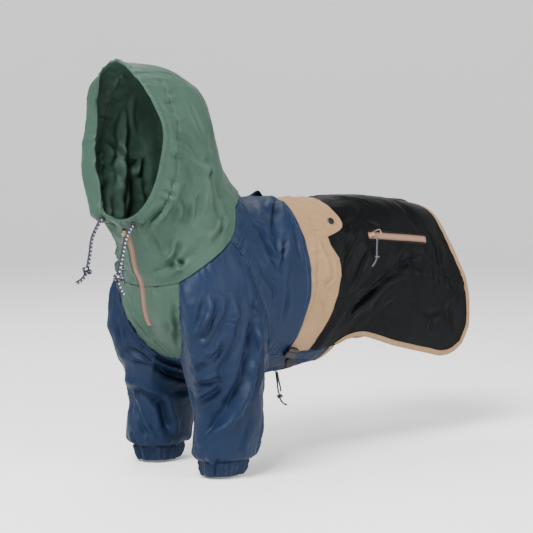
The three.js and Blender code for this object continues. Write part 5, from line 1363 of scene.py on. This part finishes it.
def sleeve(side, name):
    steps = np.linspace(0, ARM_STEPS, SLEEVE_COLUMNS)[:-1]
    shares = spaced(250, 1)
    base = sleeve_points(shares, steps)
    n = grid_normals(base, True)
    centre = base.mean(axis=1, keepdims=True)
    if ((base - centre) * n).sum() < 0:
        n = -n
    folds = [(d, w, sleeve_route(r)) for d, w, r in SLEEVE_FOLDS[side]]
    creases = [
        (SLEEVE_CREASE_GAIN * d, w, lean, sleeve_route(r, 14)) for d, w, lean, r in SLEEVE_CREASES[side]
    ]
    settle = smooth(shares, 0, 0.15)[:, None]
    seed = 40 * (side + 2)
    height = settle * (fold_height(base, folds) + crease_height(base, n, creases))
    height += smooth(shares, 0, 0.06)[:, None] * (crumple(base + seed, 34, 1.5))
    # gathers: fine and many at the armhole, deeper and fewer above the cuff
    run = np.concatenate([np.zeros((1, len(steps))),
                          np.cumsum(np.linalg.norm(np.diff(base, axis=0), axis=-1), axis=0)])
    top = np.broadcast_to(base[:1], base.shape)
    wave = noise(top / 5) + 0.55 * noise(top / 2.3 + 9)
    height += 2.4 * wave * bell(run, 15, 1.2) * smooth(run, -0.5, 1.5)
    height += seam_dip(run)
    left = run[-1:] - run
    foot = np.broadcast_to(base[-1:], base.shape)
    gather = noise(foot / 9 + seed) + 0.5 * noise(foot / 4.5 + seed)
    height += 5.2 * gather * bell(left, 18, 1.3) * smooth(left, -1, 8)
    height += 2.2 * bell(left - 11, 7) - 0.8 * bell(left, 1.2)
    points = base + n * height[..., None]
    mirror = np.array([side, 1, 1])
    flat = together(run, np.linspace(0, 300, len(steps))[None])
    points, n, base = points * mirror, n * mirror, base * mirror
    shell(f"sleeve_{name}_cloth", points, n, BLUE, wrap=True, uv=flat)
    PANELS[f"sleeve_{name}"] = {"points": points, "n": n, "base": base}


CUFF = {"length": 20.4, "across": 27, "along": 34, "tuck": 6}


def cuff(side, name):
    """A gathered band round the elastic: pleats of uneven depth, and a plain turned edge."""
    x0, y0, z0, across, along = SLEEVE_RINGS[-1]
    turn = np.linspace(0, 2 * np.pi, 241)[:-1][None, :]
    s = np.linspace(0, 1, 18)[:, None]
    low = z0 + CUFF["tuck"] - (CUFF["length"] + CUFF["tuck"]) * s
    centre = together(x0 - 2 * s, y0 + 0 * s, low)
    rx = np.interp(s, [0, 0.22, 1], [across - 4, across - 0.8, CUFF["across"]])
    ry = np.interp(s, [0, 0.22, 1], [along - 4, along - 0.8, CUFF["along"]])
    spot = together(30 * np.cos(turn), 38 * np.sin(turn), 0 * turn)
    seed = 70 * (side + 2)
    wave = noise(spot / 6.5 + seed) * 1.5 + 0.7 * noise(spot / 3.2 + seed + 3)
    drift = noise(together(spot[..., 0] / 5, spot[..., 1] / 5, 6 * s) + seed + 8)
    body_of = np.sin(np.pi * np.clip(0.1 + 0.8 * s, 0, 1)) ** 0.6
    body_of = body_of * smooth(s, 0.1, 0.34)
    height = 2.5 * wave * body_of + 0.8 * drift * body_of + 1.4 * np.sin(np.pi * s) * smooth(s, 0.1, 0.3)
    n = together(np.cos(turn), np.sin(turn), 0.0 * s)
    points = centre + together(rx * np.cos(turn), ry * np.sin(turn), 0.0 * s)
    points = points + n * height[..., None]
    points[..., 2] += 0.8 * noise(spot / 7 + seed + 30) * s
    mirror = np.array([side, 1, 1])
    flat = together(20 * s, 200 * turn / (2 * np.pi))
    shell(f"cuff_{name}_cloth", points * mirror, n * mirror, BLUE, wrap=True, uv=flat, thickness=1.2)


for arm, sign in (("left", 1), ("right", -1)):
    sleeve(sign, arm)
    cuff(sign, arm)


# ---- Lines along the panels ----
def inset_line(name, side, gap):
    """The line on a panel that runs along one of its sides, gap mm in, with its outward normals."""
    panel = PANELS[name]
    points, normals = panel["points"], panel["n"]
    far = grid_distances(panel["base"])[side]
    if side in ("front", "rear"):
        points, normals, far = points.swapaxes(0, 1), normals.swapaxes(0, 1), far.T
    if side in ("rear", "last"):
        points, normals, far = points[:, ::-1], normals[:, ::-1], far[:, ::-1]
    line, out = (
        np.array([read_at(gap, d, row) for row, d in zip(rows, far)]) for rows in (points, normals)
    )
    return line, unit(out)


def lying_on(name, places, normals):
    """Places on the outer face of a panel, straight under or over the given ones."""
    panel = PANELS[name]
    if "tree" not in panel:
        grid = panel["points"]
        faces = grid_faces(*grid.shape[:2])
        panel["tree"] = BVHTree.FromPolygons(grid.reshape(-1, 3).tolist(), faces.tolist())
    found, reach = [], 12
    for p, n in zip(places, normals):
        hit = panel["tree"].ray_cast(Vector(p + reach * n), Vector(-n), 2 * reach)[0]
        found.append(hit if hit is not None else panel["tree"].find_nearest(Vector(p))[0])
    return np.array(found, float)


def route_on(name, route, side, count=60):
    """A (u, v) route laid on the outer face of a panel, with the body's normals."""
    places, normals = surface(refined(route, count) * (1, side))
    return lying_on(name, places, normals), normals


def resampled(line, spacing, *others, closed=False):
    """A polyline at even spacing, with whatever goes with its points."""
    if closed:
        line, others = np.vstack([line, line[:1]]), [np.vstack([o, o[:1]]) for o in others]
    run = run_of(line)
    at = np.linspace(0, run[-1], max(3, int(round(run[-1] / spacing)) + 1))
    at = at[:-1] if closed else at
    return [read_at(at, run, rows) for rows in (line, *others)]


def softened(rows, width, closed=False):
    """A moving average along a line, which keeps its ends."""
    kernel = np.hanning(width + 2)[1:-1]
    kernel /= kernel.sum()
    pad = width // 2
    before, after = rows[-pad:], rows[:pad]
    if not closed:
        before, after = np.repeat(rows[:1], pad, 0), np.repeat(rows[-1:], pad, 0)
    padded = np.vstack([before, rows, after])
    return np.stack([np.convolve(padded[:, k], kernel, "valid") for k in range(rows.shape[1])], -1)


# ---- Stitches ----
STITCH = {"length": 2.3, "pitch": 3.3, "radius": 0.32}
STITCH_ROUND = np.linspace(0, 2 * np.pi, 6)[:-1]
# Along a stitch: share of its length, share of its radius, height in radii.
STITCH_ROWS = np.array([
    (0, 0.15, -0.5), (0.12, 0.8, 0.05), (0.5, 1, 0.3), (0.88, 0.8, 0.05), (1, 0.15, -0.5),
])


def stitches(name, lines, thread):
    """Rows of separate stitches along lines on the cloth, each half sunk in it."""
    starts, ends, ups = [], [], []
    for line, normals in lines:
        run = run_of(line)
        at = np.arange(0.6, run[-1] - STITCH["length"], STITCH["pitch"])
        for rows, where, keep in ((line, at, starts), (line, at + STITCH["length"], ends),
                                  (normals, at + STITCH["length"] / 2, ups)):
            keep.append(read_at(where, run, rows))
    start, end, up = (np.vstack(rows) for rows in (starts, ends, ups))
    way = unit(end - start)
    side = unit(np.cross(way, up))
    up = np.cross(side, way)
    share, wide, high = (STITCH_ROWS[:, k][None, :, None, None] for k in range(3))
    turn = STITCH_ROUND[None, None, :, None]
    middle = start[:, None, None] + (end - start)[:, None, None] * share
    middle = middle + up[:, None, None] * high * STITCH["radius"]
    ring = wide * STITCH["radius"] * (np.cos(turn) * side[:, None, None] + np.sin(turn) * up[:, None, None])
    points = (middle + ring).reshape(-1, 3)
    one = grid_faces(len(STITCH_ROWS), len(STITCH_ROUND), wrap=True)
    size = len(STITCH_ROWS) * len(STITCH_ROUND)
    faces = (one[None] + size * np.arange(len(start))[:, None, None]).reshape(-1, 4)
    faces = outward(points, np.broadcast_to(ring, (middle + ring).shape).reshape(-1, 3), faces)
    flat = together(STITCH["length"] * share[..., 0], turn[..., 0] / 3)
    flat = np.broadcast_to(flat, (len(start), len(STITCH_ROWS), len(STITCH_ROUND), 2)).reshape(-1, 2)
    piece = make_mesh(name, points, faces, THREADS[thread], flat)
    return piece


def channel_lines(name, channels, sides=(1, -1)):
    lines = []
    for channel in channels:
        which, route = channel[0], channel[-1]
        lines += [route_on(name, route, s, 14 * len(route)) for s in SIDES[which] if s in sides]
    return lines


STITCHED = {
    "hood_left": ("green", [("front", 2.2), ("rear", 3.0), ("first", 2.4), ("last", 2.2)]),
    "hood_right": ("green", [("front", 2.2), ("rear", 3.0), ("first", 2.4), ("last", 2.2)]),
    "hood_center": ("green", [("front", 2.2), ("rear", 3.0), ("first", 2.4), ("last", 2.4)]),
    "bib": ("green", [("first", 2.6), ("last", 2.6), ("front", 2.6)]),
    "back_panel": ("blue", [("first", 2.4), ("first", 6.8), ("last", 2.4), ("last", 6.8), ("rear", 8.2),
                            ("front", 3.0)]),
    "belly_panel": ("blue", [("first", 3.4), ("last", 3.4), ("front", 3.0)]),
    "sleeve_left": ("blue", [("front", 4.2)]),
    "sleeve_right": ("blue", [("front", 4.2)]),
    "waist_panel": ("tan", [("rear", 2.2), ("rear", 8.2)]),
}
SEWN = {}


def sew_panels():
    for name, (thread, lines) in STITCHED.items():
        runs = [inset_line(name, side, gap) for side, gap in lines]
        if name in ("hood_left", "hood_right"):
            runs += channel_lines(name, CHANNELS["hood"], (1,) if name == "hood_left" else (-1,))
        if name == "waist_panel":
            runs += channel_lines(name, CHANNELS["waist"])
        SEWN[name] = [stitches(f"{name}_stitches", runs, thread)]
    rump_lines = channel_lines("rump_panel", CHANNELS["rump"])
    SEWN["rump_panel"] = [stitches("rump_panel_stitches", rump_lines, "black")]


# ---- Binding round the free edges ----
# Across the tape, from its rim on the outside to its rim on the inside: distance in from the cloth's edge,
# and height over the cloth's outer or under its inner face; then the same past the edge, over its outer face.
BOUND = np.array([(6.9, 0.1), (6.8, 0.72), (5.8, 0.95), (4.0, 1.0), (2.0, 1.05), (0.4, 1.0)])
TURN = [(-1.1, 0.35), (-1.6, -0.5), (-1.1, -1.35)]


def rim_of(name, sides):
    """Points and normals along the sides of a panel in order, and the ways in from its edge."""
    grid, normals = PANELS[name]["points"], PANELS[name]["n"]
    free_row = PANELS["rump_panel"]["free_row"]
    cuts = {
        "first": (np.s_[free_row:, 0], np.s_[free_row:, 4]),
        "rear": (np.s_[-1, 1:-1], np.s_[-5, 1:-1]),
        "last": (np.s_[:free_row:-1, -1], np.s_[:free_row:-1, -5]),
        "hem": (np.s_[-1, ::-1], np.s_[-5, ::-1]),
    }
    at = np.vstack([grid[cuts[s][0]] for s in sides])
    inner = np.vstack([grid[cuts[s][1]] for s in sides])
    out = np.vstack([normals[cuts[s][0]] for s in sides])
    at, inner, out = resampled(at, 2.0, inner, out)
    out = unit(softened(out, 5))
    way = unit(np.gradient(softened(at, 5), axis=0))
    inward = unit(np.cross(out, way))
    flip = np.sign(np.einsum("ij,ij->", inward, inner - at))
    return at, out, unit(softened(inward * flip, 7)), name


def hem_tape():
    parts = [rim_of("rump_panel", ("first", "rear", "last")), rim_of("belly_panel", ("hem",))]
    at, out, inward = (np.vstack([part[k] for part in parts]) for k in range(3))
    names = sum(([part[3]] * len(part[0]) for part in parts), [])
    out, inward = unit(softened(out, 5, True)), unit(softened(inward, 5, True))
    run = run_of(at)
    puff = 1 + 0.3 * noise(at / 4.5) + 0.2 * noise(at / 2.1 + 5)
    outer, under = [], []
    for gap, lift in BOUND:
        target = at + inward * gap
        found = target.copy()
        for name in set(names):
            own = np.array([n == name for n in names])
            found[own] = lying_on(name, target[own], out[own])
        near = np.linalg.norm(found - target, axis=1) < 5
        found = np.where(near[:, None], found, target)
        outer.append(found + out * (lift * puff)[:, None])
        under.append(found - out * (CLOTH + lift * puff)[:, None])
    turned = [at + inward * gap + out * lift for gap, lift in TURN]
    grid = np.array([*outer, *turned, *under[::-1]])
    normals = grid_normals(grid, True)
    middle = at - out * 0.5
    if ((grid - middle) * normals).sum() < 0:
        normals = -normals
    across = np.arange(len(grid))[:, None] * 1.5
    flat = together(run[None], across)
    piece = shell("hem_binding_tape", grid, normals, BINDING, thickness=0.5, wrap=True, uv=flat)
    stand_for("hem_binding")
    line = 0.45 * outer[1] + 0.55 * outer[2] + out * 0.05
    SEWN["hem_binding"] = [stitches("hem_binding_stitches", [(line, out)], "tan")]


# ---- Zips ----
ZIP_TEETH_HALF = 2.1  # half the width of the rows of teeth; the flat tape beside them is shinier
# Across a zip: share of its half width, and height.
ZIP_ROWS = np.array([(-1, -0.75), (-0.93, -0.45), (-0.8, -0.2), (-0.5, -0.12), (-0.26, -0.1), (-0.16, -0.02),
                     (-0.05, 0.0), (0, -0.4), (0.05, 0.0), (0.16, -0.02), (0.26, -0.1), (0.5, -0.12),
                     (0.8, -0.2), (0.93, -0.45), (1, -0.75)])


def zip_strip(name, node_name, left, right, out, lift=0.0):
    """A zip's two tapes, which meet at a groove between rows of fine teeth, from one edge to the other."""
    middle, half = (left + right) / 2, (left - right) / 2
    out = unit(out - unit(half) * np.einsum("ij,ij->i", out, unit(half))[:, None])
    run = run_of(middle)
    grid = middle[None] + half[None] * ZIP_ROWS[:, 0, None, None] * 0.95
    teeth = 0.1 * np.sin(2 * np.pi * run / 2.6)[None] * bell(np.abs(ZIP_ROWS[:, 0, None]) - 0.1, 0.08)
    grid = grid + out[None] * (ZIP_ROWS[:, 1, None] + lift + teeth)[..., None]
    normals = np.broadcast_to(out[None], grid.shape)
    flat = together(run[None], ZIP_ROWS[:, 0, None] * 6)
    piece = shell(name, grid, normals, ZIP, thickness=0.6, uv=flat)
    piece.data.materials.append(ZIP_SHINE)
    centres = np.array([face.center for face in piece.data.polygons]) / MM
    nearest = np.array([np.argmin(((middle - c) ** 2).sum(1)) for c in centres])
    aside = np.abs(np.einsum("ij,ij->i", centres - middle[nearest], unit(half)[nearest]))
    piece.data.polygons.foreach_set("material_index", (aside > ZIP_TEETH_HALF).astype(np.int32))
    stand_for(node_name)


def neck_zip():
    first = int(np.argmax(HOOD_RINGS >= ZIP_TOP))
    hoods = [PANELS[name] for name in ("hood_left", "hood_right")]
    one, two, row = PANELS["bib"]["slot"]
    sides = [
        np.vstack([hood["points"][first:, -1], PANELS["bib"]["points"][: row + 1, column]])
        for hood, column in zip(hoods, (one, two))
    ]
    out = np.vstack([hoods[0]["n"][first:, -1] + hoods[1]["n"][first:, -1],
                     PANELS["bib"]["n"][: row + 1, one] + PANELS["bib"]["n"][: row + 1, two]])
    left, right, out = resampled(sides[0], 0.65, sides[1], unit(out))
    left, right, out = (softened(rows, 21) for rows in (left, right, out))
    zip_strip("neck_zip_cloth", "neck_zip_tape", left, right, unit(out), 0.5)


POCKET = [(12.28, 0.326), (13.82, 0.32)]  # the line of its middle, as (u, v)
POCKET_HALF = 5.8  # half the width of its zip's opening
LIP_SEAM = 7.2  # how far from the middle each lip is stitched down
# Across a lip: distance from the zip's middle and height.
LIP = np.array([(5.3, 0.2), (5.5, 0.95), (6.1, 1.25), (7.0, 1.1), (7.8, 0.6), (8.3, 0.05)])


def pocket_zip():
    """The zip on the left of the rump, in a welt of the panel's own cloth."""
    places, normals = route_on("rump_panel", POCKET, 1, 180)
    middle = softened(places, 15)
    way = unit(np.gradient(middle, axis=0))
    across = unit(np.cross(normals, way))
    zip_strip("pocket_zip_cloth", "pocket_zip_tape", middle + across * POCKET_HALF,
              middle - across * POCKET_HALF, normals, 1.1)
    runs = []
    for name, way_out in (("upper", 1), ("lower", -1)):
        width = LIP[:, 0] * way_out
        targets = [middle + across * w for w in width]
        grid = np.array([t + normals * h for t, h in zip(targets, LIP[:, 1])])
        grid += normals[None] * 0.25 * noise(grid / 5)[..., None]
        flat = together(np.arange(len(middle))[None] * 0.7, LIP[:, 0, None])
        piece = shell(f"pocket_lip_{name}", grid, np.broadcast_to(normals[None], grid.shape), BLACK,
                      thickness=0.5, uv=flat)
        SEWN.setdefault("rump_panel", []).append(piece)
        runs.append((middle + across * LIP_SEAM * way_out + normals * 1.1, normals))
    SEWN["rump_panel"].append(stitches("pocket_stitches", runs, "black"))


# ---- Webbing ----
def ribbon(name, node_name, middle, aside, out, width, thickness):
    """Webbing along a line, its selvedges a little lower than its middle."""
    share = np.linspace(-1, 1, 9)[:, None]
    run = run_of(middle)
    high = thickness - 0.35 * np.abs(share) ** 6 + 0.06 * noise(middle / 3)[None]
    grid = middle[None] + aside[None] * (share * width / 2)[..., None] + out[None] * high[..., None]
    piece = shell(name, grid, np.broadcast_to(out[None], grid.shape), WEBBING,
                  thickness=thickness - 0.3, uv=together(run[None], share * width / 2))
    stand_for(node_name)


# The left half of the belly strap as (u, v), and the back loop in mm.
STRAP = [(10.42, 0.793), (10.5, 0.82), (10.74, 0.875), (10.78, 0.92), (10.78, 1)]
LOOP_LINE = [(0, 302.0, -7.2), (0, 320.9, -8.75), (0, 332.2, -10.9), (0, 340.7, -14.4)]


def strap_and_loop():
    left = refined(STRAP, 60)
    middle, normals = surface(np.vstack([left, flip_belly(left)[-2:1:-1]]))
    middle = middle + normals * (fold_height(middle, BODY_FOLDS) + 0.4)[:, None]
    middle, normals = softened(middle, 9), unit(softened(normals, 9))
    aside = unit(np.cross(normals, np.gradient(middle, axis=0)))
    ribbon("strap_webbing", "strap", middle, aside, normals, 15, 1.8)
    line = even_curve(LOOP_LINE, 40)
    out = np.broadcast_to([0, 0.19, 0.98], line.shape)
    across = np.broadcast_to([1.0, 0, 0], line.shape)
    ribbon("back_loop_webbing", "back_loop", line, across, out, 14, 2.0)


# ---- Small hardware that the CAD model shows ----
FINISHES = {
    "eyelet_left": EYELET, "eyelet_right": EYELET, "belly_eyelet": EYELET, "snap_left": SNAP,
    "snap_right": SNAP, "buckle_plug": PLASTIC, "buckle_socket": PLASTIC, "neck_zip_slider": ZIP_METAL,
    "pocket_zip_slider": ZIP_METAL, "neck_zip_ring": WIRE, "pocket_zip_ring": WIRE,
}


def finish_hardware():
    for name, material in FINISHES.items():
        for slot in bpy.data.objects[name].material_slots:
            slot.material = material


sew_panels()
hem_tape()
neck_zip()
pocket_zip()
strap_and_loop()
finish_hardware()


# ---- The panels' cuts; their CAD parts are hidden ----
# Each panel: its nylon, the flat width and length of its cut in m, its area in m2, how it is held, and what
# it rests on.
SHEETS = {
    "hood_left": ("green", 0.302, 0.290, 0.0480, "draped", ["back_panel", "hood_center"]),
    "hood_right": ("green", 0.302, 0.290, 0.0550, "draped", ["back_panel", "hood_center"]),
    "hood_center": ("green", 0.075, 0.306, 0.0160, "draped", ["back_panel"]),
    "bib": ("green", 0.142, 0.128, 0.0142, "draped", ["hood_left", "hood_right", "belly_panel"]),
    "back_panel": ("blue", 0.566, 0.232, 0.0590, "draped", ["belly_panel"]),
    "belly_panel": ("blue", 0.336, 0.259, 0.0325, "hung", ["back_panel"]),
    "waist_panel": ("tan", 0.633, 0.092, 0.0435, "draped", ["back_panel"]),
    "rump_panel": ("black", 0.640, 0.340, 0.1720, "draped", ["waist_panel", "back_panel"]),
    "sleeve_left": ("blue", 0.560, 0.313, 0.0705, "gathered", ["back_panel", "bib", "belly_panel"]),
    "sleeve_right": ("blue", 0.560, 0.313, 0.0705, "gathered", ["back_panel", "bib", "belly_panel"]),
    "cuff_left": ("blue", 0.230, 0.026, 0.0058, "gathered", ["sleeve_left"]),
    "cuff_right": ("blue", 0.230, 0.026, 0.0058, "gathered", ["sleeve_right"]),
}


def declare_sheets():
    for name, (cloth, width, length, area, held, rests) in SHEETS.items():
        stand_for(name)


declare_sheets()


# ---- Floor and light ----
def add_stage():
    """A pale studio bowl: a flat floor that curves up into a wall all round."""
    material, tree, shader, at = new_material("floor", {
        "Roughness": 0.95, "Specular IOR Level": 0.1, "Emission Color": (1, 1, 1, 1),
        "Emission Strength": BOWL["glow"],
    })
    tint = mix_colour(tree, speckle(tree, at, 3.0, 2.0), (0.86, 0.86, 0.86), (0.89, 0.89, 0.89))
    tree.links.new(tint, shader.inputs["Base Color"])
    low = cad_box[0][2] - 0.004
    rise = np.linspace(0, np.pi / 2, 14)
    flat, curve, sides = BOWL["flat"], BOWL["curve"], 72
    profile = [(1.5, 0.0)]
    profile += [(flat + curve * math.sin(a), curve * (1 - math.cos(a))) for a in rise]
    profile += [(flat + curve, BOWL["high"])]
    turns = np.linspace(0, 2 * np.pi, sides + 1)[:-1]
    points = [(r * math.cos(a), r * math.sin(a), low + z) for r, z in profile for a in turns]
    faces = [tuple(range(sides))]
    for ring in range(0, (len(profile) - 1) * sides, sides):
        faces += [(ring + j, ring + sides + j, ring + sides + (j + 1) % sides, ring + (j + 1) % sides)
                  for j in range(sides)]
    mesh = bpy.data.meshes.new("floor")
    mesh.from_pydata(points, [], faces)
    mesh.polygons.foreach_set("use_smooth", [True] * len(faces))
    mesh.materials.append(material)
    floor = bpy.data.objects.new("floor", mesh)
    bpy.context.collection.objects.link(floor)


BOWL = {"flat": 3.4, "curve": 2.0, "high": 5.0, "glow": 0.17}
# Lights: to the right of the camera, towards it, up, size, power.
LIGHTS = {
    "key": (-0.9, 1.6, 2.1, 1.3, 195),
    "fill": (2.1, 1.6, 0.9, 1.4, 72),
    "top": (-0.4, -1.1, 2.1, 1.4, 40),
}


def add_lights():
    world = bpy.data.worlds.new("studio")
    world.use_nodes = True
    world.node_tree.nodes["Background"].inputs[0].default_value = (0.97, 0.985, 1.0, 1)
    world.node_tree.nodes["Background"].inputs[1].default_value = 0.1
    bpy.context.scene.world = world
    turn = math.radians(CAMERA["azimuth"])
    right = Vector((math.cos(turn), math.sin(turn), 0))
    back = Vector((math.sin(turn), -math.cos(turn), 0))
    middle = Vector((0, 0.05, -0.1))
    for name, (aside, near, up, size, power) in LIGHTS.items():
        data = bpy.data.lights.new(name, "AREA")
        data.energy, data.size = power, size
        lamp = bpy.data.objects.new(name, data)
        place = middle + right * aside + back * near + Vector((0, 0, up))
        lamp.location = place
        lamp.rotation_euler = (place - middle).to_track_quat("Z", "Y").to_euler()
        bpy.context.collection.objects.link(lamp)


add_stage()
add_lights()
